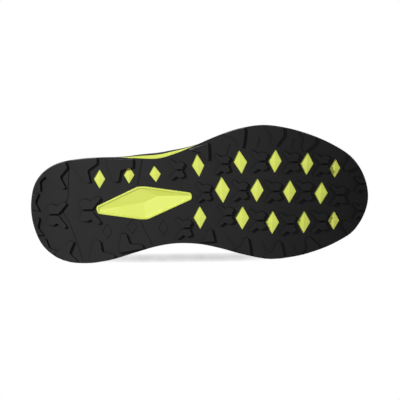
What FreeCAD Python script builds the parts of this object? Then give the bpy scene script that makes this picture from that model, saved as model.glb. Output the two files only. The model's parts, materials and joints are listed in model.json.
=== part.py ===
"""Trail running shoe, right foot: sole unit, upper, tongue, lace and insole as separate pieces.

Frame, in millimetres: +X from heel to toe, +Y to the inner (medial) side, +Z up. The origin is on
the ground, below the middle of the shoe's box.
"""
import FreeCAD, Part
import math
import os

V = FreeCAD.Vector

# ---- driving dimensions ----------------------------------------------------------------------
LUG_HEIGHT = 4.0            # tread lugs below the rubber sheet
RUBBER = 2.5                # rubber sheet of the outsole
FOAM_HEEL = 22.0            # midsole foam under the heel
FOAM_BALL = 14.0            # midsole foam under the ball
FOAM_TOE = 10.0             # midsole foam under the toes
LIP_HEIGHT = 5.0            # midsole lip round the foot bed
LIP_WIDTH = 3.2
TOE_SPRING = 24.0           # rise of the tread at the toe tip
HEEL_BEVEL = 7.0            # rise of the tread at the heel tip
SPRING_START = 50.0         # x where the toe spring begins
BEVEL_START = -108.0        # x where the heel bevel begins
HALF_LENGTH = 150.0
UPPER_INSET = 5.6           # the upper stands this far inside the sole's edge
UPPER = 2.4                 # knitted upper with its lining
BOARD = 1.2                 # strobel board
INSOLE = 4.0                # insole foam
COVER = 0.8                 # insole cloth
SKIN_GAP = 0.25             # glue line below each overlay
INSOLE_GAP = 3.2            # between the insole's edge and the upper, so that its heel lifts out
CLEAR = 0.3                 # clearance between pieces that move apart
LACE_RADIUS = 1.3
EYELET_HOLE = 1.9
EYELET_BARREL = 2.5
EYELET_FLANGE = 3.9
HINGE_X = 40.0              # the insole bends here when its heel is lifted
TONGUE_HINGE_X = -47.0
TAB_WIDTH = 13.0            # heel pull loop
TAB_STRAP = 1.8
LOOP_HALF = 4.6             # half the width of the loop seen from the side
LOOP_RISE = 15.0            # between the middles of its round ends
LOOP_HINGE = (-134.6, 14.4, 109.2)

# Edge of the sole, heel tip to toe tip: (x, y) on the outer side and on the inner side.
OUTER_EDGE = [(-149.9, 11.0), (-146.9, -7.5), (-138.0, -20.0), (-124.0, -28.0), (-104.0, -31.6),
              (-80.0, -32.8), (-58.0, -32.0), (-38.0, -31.6), (-22.0, -36.0), (-5.0, -43.0),
              (14.0, -51.3), (34.0, -58.2), (56.0, -61.5), (78.0, -58.6), (100.0, -51.8),
              (120.0, -42.3), (136.0, -30.7), (146.3, -14.5), (150.0, 4.0)]
INNER_EDGE = [(-149.9, 11.0), (-147.2, 29.5), (-139.0, 46.5), (-124.0, 57.6), (-104.0, 61.5),
              (-80.0, 58.7), (-58.0, 52.2), (-38.0, 46.4), (-20.0, 43.7), (0.0, 44.4),
              (18.0, 48.0), (38.0, 53.4), (60.0, 57.5), (82.0, 56.0), (102.0, 51.3),
              (120.0, 44.4), (136.0, 34.8), (146.0, 20.5), (150.0, 4.0)]
HALF = len(OUTER_EDGE) - 1  # stations 0 to 18 on each side
RING = 2 * HALF             # station r: 0 heel tip, 1-17 outer side, 18 toe tip, 19-35 inner side

# Opening of the upper and the way its wall stands, one row for each station, heel to toe:
# x, half width, z of the top edge; rise and outward push of the wall's foot; outward push and
# drop of its shoulder.
TOP_LINE = [(-134.0, 0.0, 104.0, 30, 4, 2, 30), (-132.0, 12.0, 103.5, 30, 4, 2, 30),
            (-126.0, 22.0, 101.0, 28, 4, 3, 28), (-112.0, 30.0, 94.0, 27, 3, 4, 25),
            (-94.0, 33.5, 87.5, 26, 2, 4, 22), (-76.0, 33.0, 87.0, 26, 2, 5, 20),
            (-60.0, 29.5, 93.0, 28, 1, 7, 20), (-46.0, 24.0, 102.0, 32, 0, 10, 19),
            (-32.0, 20.5, 100.5, 32, 0, 13, 15), (-18.0, 18.5, 95.5, 30, 0, 15, 12),
            (-3.0, 16.8, 89.5, 28, 0, 16, 9), (12.0, 15.0, 83.5, 26, 0, 18, 7),
            (26.0, 12.6, 78.0, 24, 0, 22, 5), (37.0, 9.5, 73.5, 22, 1, 28, 4),
            (43.0, 6.2, 71.2, 21, 1, 34, 3), (46.0, 3.8, 70.0, 21, 2, 38, 2),
            (47.4, 2.2, 69.5, 21, 2, 41, 2), (48.0, 1.0, 69.3, 21, 2, 43, 2),
            (48.2, 0.0, 69.2, 21, 2, 44, 2)]
# Middle line of the foot seen from above.
SPINE = [(-160.0, 14.0), (-110.0, 14.5), (-60.0, 9.5), (-20.0, 3.5), (20.0, -0.5), (60.0, -1.0),
         (160.0, 3.0)]

# ---- tread pattern ---------------------------------------------------------------------------
# One wing of a butterfly lug, (towards the toe, outwards); its twin is the mirror image.
WING = [(-1.6, 0.5), (-8.0, 8.4), (-6.6, 10.1), (-4.8, 9.9), (-0.7, 6.7), (2.6, 8.4), (6.6, 7.3),
        (7.9, 4.8), (6.0, 2.6), (6.3, 0.5)]
# (x, y, size); the V of these opens to the heel.
BUTTERFLIES = [(-20.2, -22.0, 0.9), (19.8, -27.1, 0.95), (52.6, -29.5, 1.0), (81.0, -28.7, 1.0),
               (108.0, -26.3, 1.0), (3.6, -2.0, 0.9), (35.6, -3.6, 0.95), (64.8, -2.8, 1.0),
               (92.6, -2.3, 1.0), (123.0, 1.6, 0.95), (-14.2, 30.0, 0.95), (23.1, 18.7, 0.95),
               (51.0, 23.1, 1.0), (78.1, 26.3, 1.0), (106.4, 24.7, 1.0), (144.3, -7.6, 0.75),
               (142.6, 16.6, 0.75)]
HEEL_BUTTERFLIES = [(-127.2, 18.2, 1.18), (-97.4, 14.0, 1.24)]  # the V of these opens to the toe
# Edge lugs, drawn from the inner tip: (towards the heel, outwards), running out past the edge.
FORE_LUG = [(-1.2, 0.3), (1.4, 0.0), (6.0, 8.0), (15.2, 10.4), (16.0, 26.0), (-2.2, 26.0),
            (-2.4, 12.0)]
TOE_LUG = [(0.0, 0.0), (4.0, 3.5), (3.6, 11.0), (9.0, 16.0), (9.0, 28.0), (-5.0, 28.0),
           (-7.0, 10.0)]
HEEL_LUG = [(1.6, 0.2), (12.8, 14.0), (15.0, 28.0), (-7.8, 28.0), (-8.0, 16.8), (0.4, 10.8),
            (-2.0, 0.0)]
WAIST_LUG = [(2.0, 0.0), (6.5, 16.0), (7.0, 28.0), (-15.5, 28.0), (-15.5, 13.0), (-4.5, 10.6),
             (-2.8, 0.6)]
RIM_LUG = [(-8.4, -3.2), (0.0, 0.0), (8.4, -4.6), (7.0, 1.5), (6.0, 14.0), (-6.0, 14.0),
           (-7.0, 1.0)]
# (shape, x, y, side: 1 inner or -1 outer, turn towards the toe in degrees)
EDGE_LUGS = [(FORE_LUG, 7.1, -30.3, -1, -7), (FORE_LUG, 36.9, -41.6, -1, 2),
             (TOE_LUG, 66.8, -42.4, -1, 3), (TOE_LUG, 93.1, -37.1, -1, 15),
             (TOE_LUG, 129.0, -18.7, -1, 35), (FORE_LUG, 9.3, 30.3, 1, 8),
             (FORE_LUG, 41.8, 38.1, 1, 4), (FORE_LUG, 70.2, 41.2, 1, 8),
             (TOE_LUG, 96.8, 36.9, 1, 12), (TOE_LUG, 127.7, 24.0, 1, 35),
             (HEEL_LUG, -120.6, -5.3, -1, -16), (HEEL_LUG, -99.2, -10.7, -1, 0),
             (WAIST_LUG, -74.8, -11.1, -1, 0), (HEEL_LUG, -113.5, 41.3, 1, -10),
             (WAIST_LUG, -91.2, 40.3, 1, 0), (WAIST_LUG, -68.1, 34.1, 1, 10),
             (RIM_LUG, -141.5, -11.2, -1, -64), (RIM_LUG, -146.0, 7.2, -1, -88),
             (RIM_LUG, -143.6, 29.8, 1, -72), (RIM_LUG, -133.6, 47.6, 1, -42)]
# Windows where the foam shows: (x, y, half width, half height).
WINDOWS = [(-1.7, -25.6, 5.5, 10.2), (35.8, -28.7, 6.0, 10.6), (66.6, -29.4, 5.8, 10.6),
           (95.0, -26.7, 5.7, 10.2), (120.1, -22.0, 4.7, 8.4), (19.8, -3.9, 6.6, 11.8),
           (50.6, -3.6, 5.9, 10.6), (79.5, -2.3, 5.9, 10.4), (107.6, -0.3, 5.9, 10.2),
           (0.0, 20.7, 5.7, 10.3), (37.6, 21.1, 6.0, 10.6), (64.3, 25.1, 5.9, 10.5),
           (92.3, 25.2, 5.7, 10.2), (119.0, 24.4, 4.9, 8.6), (-89.0, -13.6, 5.0, 8.6),
           (-62.8, -17.1, 4.7, 7.8), (-39.8, -18.1, 5.1, 7.4)]
BLIND_WINDOWS = [(-82.0, 33.0, 4.2, 6.8), (-60.0, 28.6, 4.4, 6.6), (-32.3, 29.6, 4.2, 6.8)]
# Corners of the long rhombus in the waist, blunt at both ends.
RHOMBUS = [(-92.0, 10.9), (-54.9, -6.9), (-47.5, -6.9), (-7.4, -1.4), (-6.6, 4.3),
           (-46.0, 22.3), (-53.0, 22.3), (-90.6, 17.3)]
FLEX_LINES = [[(-115.8, -30.0), (-116.4, 1.5), (-121.1, 15.5), (-114.5, 27.0), (-108.8, 42.2),
               (-103.0, 59.5)],
              [(-51.0, -30.0), (-55.0, -8.0)],
              [(-52.0, 24.5), (-41.5, 45.5)]]
LINE_WIDTH = 1.1


# ---- small tools -----------------------------------------------------------------------------
def blend(table, x):
    """Smooth value of a table of (x, value) pairs."""
    if x <= table[0][0]:
        return table[0][1]
    for (x0, a), (x1, b) in zip(table, table[1:]):
        if x <= x1:
            s = (x - x0) / (x1 - x0)
            return a + (b - a) * s
    return table[-1][1]


def spine(x):
    """Smoothed middle line: the mean over 30 mm of the straight pieces."""
    return sum(blend(SPINE, x + d) for d in (-15, -9, -3, 3, 9, 15)) / 6


def ground(x):
    """Height of the lug tips above the floor."""
    if x > SPRING_START:
        return TOE_SPRING * ((x - SPRING_START) / (HALF_LENGTH - SPRING_START)) ** 2
    if x < BEVEL_START:
        return HEEL_BEVEL * ((BEVEL_START - x) / (HALF_LENGTH + BEVEL_START)) ** 2
    return 0.0


def foam(x):
    """Thickness of the midsole below the foot bed."""
    steps = [(-150, FOAM_HEEL), (-70, FOAM_HEEL), (45, FOAM_BALL), (150, FOAM_TOE)]
    return sum(blend(steps, x + d) for d in (-25, -15, -5, 5, 15, 25)) / 6


def sheet_bottom(x):
    return ground(x) + LUG_HEIGHT


def sheet_top(x):
    return ground(x) + LUG_HEIGHT + RUBBER


def footbed(x):
    return sheet_top(x) + foam(x)


def above(curve, rise):
    return lambda x: curve(x) + rise


def catmull(values, r):
    """Smooth closed run through the values, at place r."""
    n = len(values)
    i = math.floor(r)
    s = r - i
    a, b, c, d = (values[(i + k) % n] for k in (-1, 0, 1, 2))
    return 0.5 * (2 * b + (c - a) * s + (2 * a - 5 * b + 4 * c - d) * s * s
                  + (3 * b - a - 3 * c + d) * s ** 3)


def ring_of(outer, inner):
    """Joins the rows of the two sides, heel to toe, into one closed ring."""
    return list(outer) + list(reversed(inner[1:-1]))


def edge_points(inset=0.0):
    """Points of the sole's edge, moved inwards by inset."""
    points = ring_of(OUTER_EDGE, INNER_EDGE)
    moved = []
    for i, (x, y) in enumerate(points):
        ax, ay = points[i - 1]
        bx, by = points[(i + 1) % len(points)]
        dx, dy = bx - ax, by - ay
        size = math.hypot(dx, dy)
        moved.append((x - dy / size * inset, y + dx / size * inset))
    return moved


def closed_spline(points, z):
    curve = Part.BSplineCurve()
    curve.interpolate([V(x, y, z) for x, y in points], PeriodicFlag=True)
    return Part.Wire([curve.toShape()])


def open_spline(points):
    curve = Part.BSplineCurve()
    curve.interpolate(points)
    return curve.toShape()


def sole_prism(inset, z0=-10.0, z1=140.0):
    face = Part.Face(closed_spline(edge_points(inset), z0))
    return face.extrude(V(0, 0, z1 - z0))


def polygon_prism(points, z0=-10.0, z1=60.0):
    wire = Part.makePolygon([V(x, y, z0) for x, y in points] + [V(*points[0], z0)])
    return Part.Face(wire).extrude(V(0, 0, z1 - z0))


def band(low, high, x0=-165.0, x1=165.0, steps=23):
    """Solid across the whole width between two height curves."""
    xs = [x0 + (x1 - x0) * i / steps for i in range(steps + 1)]
    bottom = [V(x, -90, low(x)) for x in xs]
    top = [V(x, -90, high(x)) for x in reversed(xs)]
    wire = Part.Wire([open_spline(bottom), Part.LineSegment(bottom[-1], top[0]).toShape(),
                      open_spline(top), Part.LineSegment(top[-1], bottom[0]).toShape()])
    return Part.Face(wire).extrude(V(0, 180, 0))


def save(name, shape):
    solids = shape.Solids
    whole = solids[0] if len(solids) == 1 else Part.makeCompound(solids)
    valid = all(s.isValid() and s.Volume > 0 for s in solids)
    box = whole.BoundBox
    print(f"{name:24s} solids {len(solids):3d} volume {whole.Volume:10.1f} valid {valid} "
          f"x {box.XMin:7.1f} {box.XMax:7.1f} y {box.YMin:6.1f} {box.YMax:6.1f} "
          f"z {box.ZMin:6.1f} {box.ZMax:6.1f}")
    whole.exportStep(f"parts/{name}.step")


# ---- sole unit -------------------------------------------------------------------------------
def place(shape, x, y, side, turn):
    """Turns a lug drawn as (towards the heel, outwards) into sole coordinates."""
    c, s = math.cos(math.radians(turn)), math.sin(math.radians(turn))
    return [(x - h * c + o * s, y + side * (h * s + o * c)) for h, o in shape]


def butterfly(x, y, size, way):
    """Both wings of a butterfly lug; way is 1 if its V opens to the heel, -1 if to the toe."""
    return [[(x + way * size * u, y + side * size * v) for u, v in WING] for side in (1, -1)]


def lug_outlines():
    outlines = []
    for x, y, size in BUTTERFLIES:
        outlines += butterfly(x, y, size, 1)
    for x, y, size in HEEL_BUTTERFLIES:
        outlines += butterfly(x, y, size, -1)
    outlines += [place(*lug) for lug in EDGE_LUGS]
    return outlines


def diamond(x, y, half_width, half_height, inset=0.0):
    """Diamond whose sides are moved inwards by inset."""
    slope = math.hypot(half_width, half_height)
    w = half_width - inset * slope / half_height
    h = half_height - inset * slope / half_width
    return [(x - w, y), (x, y - h), (x + w, y), (x, y + h)]


def rounded_rhombus(inset, radius, z0, z1):
    """Upright prism on the waist rhombus, its sides moved inwards; radius 0 leaves it sharp."""
    wire = Part.makePolygon([V(x, y, z0) for x, y in RHOMBUS] + [V(*RHOMBUS[0], z0)])
    if inset:
        wire = wire.makeOffset2D(-inset, 2)
    solid = Part.Face(wire).extrude(V(0, 0, z1 - z0))
    if not radius:
        return solid
    corners = [e for e in solid.Edges if abs(e.tangentAt(e.FirstParameter).z) > 0.9]
    return solid.makeFillet(radius, corners)


def groove(path):
    """Upright wall along a path of straight runs, to cut a flex line."""
    runs = []
    for (x0, y0), (x1, y1) in zip(path, path[1:]):
        size = math.hypot(x1 - x0, y1 - y0)
        nx, ny = (y0 - y1) / size * LINE_WIDTH / 2, (x1 - x0) / size * LINE_WIDTH / 2
        runs.append(polygon_prism([(x0 + nx, y0 + ny), (x1 + nx, y1 + ny),
                                   (x1 - nx, y1 - ny), (x0 - nx, y0 - ny)]))
    return runs[0].multiFuse(runs[1:]) if len(runs) > 1 else runs[0]


def make_outsole():
    sheet = band(sheet_bottom, sheet_top)
    lugs = Part.makeCompound([polygon_prism(p) for p in lug_outlines()])
    lugs = lugs.common(band(above(ground, -0.05), above(sheet_bottom, 0.6)))
    lugs = lugs.cut(Part.makeBox(400, 200, 5, V(-200, -100, -5)))
    shape = sheet.multiFuse(lugs.Solids)
    windows = [polygon_prism(diamond(*w)) for w in WINDOWS]
    windows.append(rounded_rhombus(0.0, 1.6, -10.0, 60.0))
    shape = shape.cut(Part.makeCompound(windows))
    shallow = band(above(ground, -1.0), above(sheet_bottom, 0.9))
    marks = [groove(p) for p in FLEX_LINES] + [polygon_prism(diamond(*w)) for w in BLIND_WINDOWS]
    shape = shape.cut(Part.makeCompound(marks).common(shallow))
    return shape.common(sole_prism(0.0))


def make_midsole():
    """Foam with a lip round the foot bed and a boss in each small window of the rubber."""
    swell = [(x, y) for x, y in edge_points(0.6)]
    for i, (x, y) in enumerate(swell):
        if y < 0 and -75 < x < 0:
            swell[i] = (x, y - 3.6 * math.cos((x + 36) / 40 * math.pi / 2) ** 2)
    rim = Part.Face(closed_spline(swell, -10.0)).extrude(V(0, 0, 150))
    body = rim.common(band(sheet_top, above(footbed, LIP_HEIGHT)))
    dish = sole_prism(LIP_WIDTH).common(band(footbed, above(footbed, 60.0)))
    body = body.cut(dish)
    bosses = Part.makeCompound([polygon_prism(diamond(*w, inset=CLEAR / 2)) for w in WINDOWS])
    bosses = bosses.common(band(above(sheet_bottom, 0.5), above(sheet_top, 1.0)))
    return body.multiFuse(bosses.Solids)


def make_shank():
    """Moulded plate that fills the waist rhombus: a raised rim round a sunken tray."""
    plate = rounded_rhombus(0.3, 1.3, 1.6, LUG_HEIGHT + RUBBER - 0.02)
    tray = rounded_rhombus(3.4, 0.0, 0.0, 3.4)
    fold = polygon_prism([(-80.0, 20.0), (-51.0, 8.0), (-36.0, -1.0), (-4.0, -4.0), (-4.0, 26.0)],
                         2.6, 3.5)
    return plate.cut(tray).fuse(fold.common(rounded_rhombus(3.4, 0.0, 2.6, 3.5)))


# ---- upper -----------------------------------------------------------------------------------
def ring_tables():
    """Foot point and top row of each station round the ring."""
    feet = edge_points(UPPER_INSET)
    outer = [(x, spine(x) - w, *rest) for x, w, *rest in TOP_LINE]
    inner = [(x, spine(x) + w, *rest) for x, w, *rest in TOP_LINE]
    return feet, ring_of(outer, inner)


FEET, TOPS = ring_tables()
STEP = 0.5                  # ring stations between two sections of a skin
SEAM = 13.5                 # station where the quarters meet the vamp
LINED = 0.4                 # between the upper and what lies against its inside


def wall_point(r, t, out=0.0):
    """Point of the upper at ring station r and share t of its wall, moved outwards by out."""
    fx, fy = (catmull([p[k] for p in FEET], r) for k in (0, 1))
    tx, ty, tz, rise, push, shoulder, drop = (catmull([p[k] for p in TOPS], r) for k in range(7))
    reach = math.hypot(fx - tx, fy - ty)
    hx, hy = (fx - tx) / reach, (fy - ty) / reach
    fz = footbed(fx) + 0.1
    h = (reach, reach + push, shoulder, 0.0)
    z = (fz, fz + rise, tz - drop, tz)
    weights = ((1 - t) ** 3, 3 * t * (1 - t) ** 2, 3 * t * t * (1 - t), t ** 3)
    slopes = (-3 * (1 - t) ** 2, 3 * (1 - t) * (1 - 3 * t), 3 * t * (2 - 3 * t), 3 * t * t)
    a, b = (sum(w * p for w, p in zip(weights, q)) for q in (h, z))
    da, db = (sum(w * p for w, p in zip(slopes, q)) for q in (h, z))
    size = math.hypot(da, db)
    a, b = a + out * db / size, b - out * da / size
    return V(tx + hx * a, ty + hy * a, b)


def wall_piece(r0, r1, t0, t1, inside, outside, points=7):
    """Solid skin of the upper from station r0 to r1 and share t0 to t1 of the wall. The share
    can change along the piece, as a function of the station. Offsets are outwards."""
    count = max(2, round((r1 - r0) / STEP))
    wires = []
    for k in range(count + 1):
        r = r0 + (r1 - r0) * k / count
        low = t0(r) if callable(t0) else t0
        high = t1(r) if callable(t1) else t1
        ts = [low + (high - low) * i / (points - 1) for i in range(points)]
        outer = [wall_point(r, t, outside) for t in ts]
        inner = [wall_point(r, t, inside) for t in reversed(ts)]
        wires.append(Part.Wire([open_spline(outer),
                                Part.LineSegment(outer[-1], inner[0]).toShape(),
                                open_spline(inner),
                                Part.LineSegment(inner[-1], outer[0]).toShape()]))
    return Part.makeLoft(wires, True, False)


def outward(r, t):
    """Unit vector out of the upper at a place on it."""
    across = wall_point(r + 0.2, t) - wall_point(r - 0.2, t)
    along = wall_point(r, t + 0.02) - wall_point(r, t - 0.02)
    normal = across.cross(along)
    return normal.normalize()


EYELET_STATIONS = [7.5, 8.5, 9.5, 10.5, 11.5, 12.5]
EYELET_SHARE = 0.9
GUARD_LOW = 0.085           # share of the wall where the overlays at its foot begin
SADDLE = (7.4, 10.4)        # stations that the saddle under the eyestay spans
OVERLAY = 1.1


def eyelet_places(side):
    """(centre on the wall, outward direction) of each eyelet; side 1 inner, -1 outer."""
    places = []
    for station in EYELET_STATIONS:
        r = RING - station if side > 0 else station
        places.append((wall_point(r, EYELET_SHARE), outward(r, EYELET_SHARE)))
    return places


def eyelet_holes(side, radius):
    return Part.makeCompound([Part.makeCylinder(radius, 16.0, c - n * 8.0, n)
                              for c, n in eyelet_places(side)])


def make_eyelets(side):
    """Grommets: a barrel through the eyestay and a flange on it."""
    rings = []
    for centre, n in eyelet_places(side):
        face = centre + n * (OVERLAY + SKIN_GAP + 0.1)
        barrel = Part.makeCylinder(EYELET_BARREL, 4.4, face - n * 4.4, n)
        flange = Part.makeCylinder(EYELET_FLANGE, 0.9, face, n)
        hole = Part.makeCylinder(EYELET_HOLE, 10.0, face - n * 6.0, n)
        rings.append(barrel.fuse(flange).cut(hole))
    return Part.makeCompound(rings)


def make_lace():
    """The laced run: a bar at the front and five crossings, over the tongue."""
    outer, inner = eyelet_places(-1), eyelet_places(1)
    bars = []

    def bar(start, end, height):
        middle = (start + end) * 0.5 + V(0, 0, height)
        arc = Part.Arc(start, middle, end).toShape()
        tangent = arc.tangentAt(arc.FirstParameter)
        ring = Part.Wire([Part.makeCircle(LACE_RADIUS, start, tangent)])
        bars.append(Part.Wire([arc]).makePipeShell([ring], True, True))

    def top(places, i):
        lift = OVERLAY + SKIN_GAP + 2.3 + LACE_RADIUS + 0.35 * max(0, 2 - i)
        return places[i][0] + places[i][1] * lift

    last = len(outer) - 1
    bar(top(outer, last), top(inner, last), 5.4)
    for i in range(last):
        rise = 11.4 - 1.2 * i
        bar(top(outer, i + 1), top(inner, i), rise)
        bar(top(inner, i + 1), top(outer, i), rise + 2.0 * LACE_RADIUS + 0.4)
    return Part.makeCompound(bars)


# ---- tongue ----------------------------------------------------------------------------------
TONGUE_DROP = 3.6           # the tongue's face lies this far below the line of the upper
TONGUE_FOAM = 6.5
KEEPER_STATION = 10
KEEPER_ARCH = 4.6
KEEPER_RADIUS = 16.5


def arch_wire(x, y, crown, radius, half_angle, thickness):
    """Arched strip seen along X: crown is the height of its upper face."""
    def at(angle, r):
        return V(x, y + r * math.sin(angle), crown - radius + r * math.cos(angle))
    a = half_angle
    low = radius - thickness
    top = Part.Arc(at(-a, radius), at(0, radius), at(a, radius)).toShape()
    under = Part.Arc(at(a, low), at(0, low), at(-a, low)).toShape()
    return Part.Wire([top, Part.LineSegment(at(a, radius), at(a, low)).toShape(), under,
                      Part.LineSegment(at(-a, low), at(-a, radius)).toShape()])


def tongue_section(i, thickness=TONGUE_FOAM):
    """Section of the tongue under the eyestays at station i of the opening."""
    x, w, z, _, _, shoulder, drop = TOP_LINE[i]
    slope = math.atan2(drop, shoulder)
    radius = w / math.sin(slope)
    crown = z + radius * (1 - math.cos(slope)) - TONGUE_DROP
    radius -= TONGUE_DROP
    half_angle = math.asin(min(0.9, (w + 3.0) / radius))
    return x, crown, radius, half_angle, thickness


def make_tongue_body():
    wires = []
    for i in range(8, 15):
        x, crown, radius, half_angle, thickness = tongue_section(i)
        wires.append(arch_wire(x, spine(x), crown, radius, half_angle, thickness))
    x, crown = TONGUE_HINGE_X + 0.8, TONGUE_CROWN - 0.5
    wires.insert(0, arch_wire(x, spine(x), crown, 25.0, 1.05, TONGUE_FOAM + 0.5))
    return Part.makeLoft(wires, True, False)


TONGUE_CROWN = 114.0        # height of the tongue's face at its hinge
TONGUE_HINGE_Z = 111.0
TONGUE_TIP = [(0.0, 0.0, 25.5, 1.05, 7.0), (-7.0, 6.0, 27.0, 1.0, 7.5), (-13.0, 11.0, 28.5, 0.9, 7.0),
              (-18.0, 14.5, 30.0, 0.72, 5.0)]


def make_tongue_tip():
    x0 = TONGUE_HINGE_X - 0.8
    wires = [arch_wire(x0 + dx, spine(x0 + dx), TONGUE_CROWN + dz, radius, half, thick)
             for dx, dz, radius, half, thick in TONGUE_TIP]
    x, z = TONGUE_HINGE_X - 0.5, TONGUE_HINGE_Z
    swing = [(x - 20 * math.tan(math.radians(23)), z - 20), (x, z - 0.3), (x, z + 0.3),
             (x - 20 * math.tan(math.radians(43)), z + 20), (x + 20, z + 20), (x + 20, z - 20)]
    wedge = Part.makePolygon([V(a, -60, b) for a, b in swing + swing[:1]])
    return Part.makeLoft(wires, True, False).cut(Part.Face(wedge).extrude(V(0, 120, 0)))


def make_lace_keeper():
    """Webbing bridge on the tongue that the lace runs under, sewn down at both ends."""
    x, crown, _, _, _ = tongue_section(KEEPER_STATION)
    rise = crown + KEEPER_ARCH
    back = arch_wire(x - 4.0, spine(x), rise + 1.8, KEEPER_RADIUS, 0.72, 1.0)
    front = arch_wire(x + 4.0, spine(x), rise - 1.4, KEEPER_RADIUS, 0.72, 1.0)
    return Part.makeLoft([back, front], True, False)


# ---- collar, insole, pull loop ----------------------------------------------------------------
def make_collar_pad():
    """Padded ring round the ankle, inside the upper."""
    low = lambda r: 0.62 + 0.1 * abs(r) / 6.5
    return wall_piece(-6.5, 6.5, low, 0.985, -UPPER - 6.5, -UPPER - 2 * LINED)


def make_insole_layer(low, thickness, x0, x1):
    layer = band(above(footbed, low), above(footbed, low + thickness), x0, x1, steps=12)
    return sole_prism(UPPER_INSET + UPPER + INSOLE_GAP).common(layer)


def loop_prism(half):
    """Upright slot shape seen from the side, as wide as the strap."""
    x, y, z = LOOP_HINGE[0], LOOP_HINGE[1] - TAB_WIDTH / 2, LOOP_HINGE[2]
    top = z + LOOP_RISE
    under = Part.Arc(V(x - half, y, z), V(x, y, z - half), V(x + half, y, z)).toShape()
    over = Part.Arc(V(x + half, y, top), V(x, y, top + half), V(x - half, y, top)).toShape()
    wire = Part.Wire([under, Part.LineSegment(V(x + half, y, z), V(x + half, y, top)).toShape(),
                      over, Part.LineSegment(V(x - half, y, top), V(x - half, y, z)).toShape()])
    return Part.Face(wire).extrude(V(0, TAB_WIDTH, 0))


def make_pull_loop():
    """Closed strap loop sewn into the top of the heel; it turns about its lower end."""
    return loop_prism(LOOP_HALF).cut(loop_prism(LOOP_HALF - TAB_STRAP))


def toe_cap_top(r):
    return 0.2 + 0.2 * math.cos((r - HALF) / 3.5 * math.pi / 2)


def heel_clip_top(r):
    return 0.42 + 0.2 * math.cos(r / 3.0 * math.pi / 2)


def main():
    os.makedirs("parts", exist_ok=True)
    save("outsole", make_outsole())
    save("midsole", make_midsole())
    save("arch_shank", make_shank())
    board = sole_prism(UPPER_INSET + UPPER + 0.2)
    save("strobel_board", board.common(band(above(footbed, 0.1), above(footbed, 0.1 + BOARD))))

    insole_low = 0.1 + BOARD + 0.1
    cover_low = insole_low + INSOLE + 0.02
    for part, x0, x1 in (("heel", -165.0, HINGE_X - CLEAR), ("front", HINGE_X + CLEAR, 165.0)):
        save(f"insole_{part}", make_insole_layer(insole_low, INSOLE, x0, x1))
        save(f"insole_cloth_{part}", make_insole_layer(cover_low, COVER, x0, x1))

    outer_holes = eyelet_holes(-1, EYELET_BARREL + 0.1)
    inner_holes = eyelet_holes(1, EYELET_BARREL + 0.1)
    save("heel_panel", wall_piece(-3, 3, 0, 1, -UPPER, 0))
    save("outer_quarter", wall_piece(3, SEAM, 0, 1, -UPPER, 0).cut(outer_holes))
    save("inner_quarter", wall_piece(RING - SEAM, RING - 3, 0, 1, -UPPER, 0).cut(inner_holes))
    save("vamp", wall_piece(SEAM, RING - SEAM, 0, 1, -UPPER, 0))

    skin = (SKIN_GAP, SKIN_GAP + OVERLAY)
    thick_skin = (SKIN_GAP, SKIN_GAP + 1.6)
    save("outer_eyestay", wall_piece(7, 13, 0.8, 0.995, *skin).cut(outer_holes))
    save("inner_eyestay", wall_piece(RING - 13, RING - 7, 0.8, 0.995, *skin).cut(inner_holes))
    save("toe_cap", wall_piece(14.5, RING - 14.5, GUARD_LOW, toe_cap_top, *thick_skin))
    save("outer_mudguard", wall_piece(3.5, 14, GUARD_LOW, 0.2, *skin))
    save("inner_mudguard", wall_piece(RING - 14, RING - 3.5, GUARD_LOW, 0.2, *skin))
    save("heel_clip", wall_piece(-3, 3, GUARD_LOW, heel_clip_top, *thick_skin))
    save("heel_stay", wall_piece(-0.5, 0.5, 0.66, 0.99, *skin))
    for name, side in (("outer", -1), ("inner", 1)):
        ends = SADDLE if side < 0 else (RING - SADDLE[1], RING - SADDLE[0])
        save(f"{name}_saddle", wall_piece(*ends, 0.215, 0.785, *skin))
        save(f"{name}_eyelets", make_eyelets(side))

    stiffener = (-UPPER - LINED - 1.4, -UPPER - LINED)
    save("heel_counter", wall_piece(-3.5, 3.5, 0.04, 0.56, *stiffener))
    save("heel_lining", wall_piece(-3.5, 3.5, 0.09, 0.56, -UPPER - LINED - 2.5, -UPPER - LINED - 1.7))
    save("toe_puff", wall_piece(15, RING - 15, 0.1, 0.36, *stiffener))
    save("collar_pad", make_collar_pad())

    save("tongue_body", make_tongue_body())
    save("tongue_tip", make_tongue_tip())
    save("lace_keeper", make_lace_keeper())
    save("lace", make_lace())
    save("pull_loop", make_pull_loop())


main()
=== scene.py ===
# %% [markdown]
# # A trail running shoe
# This lesson dresses a working model of a right trail shoe. The model comes in as a fixed frame in
# metres: +X runs from heel to toe, +Y to the inner side of the foot and +Z up from the ground.
# Every piece below is made where it belongs on that frame, then told which body it moves with.

# %% Load the frame
import json
import math

import bmesh
import bpy
from mathutils import Matrix, Vector

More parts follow.
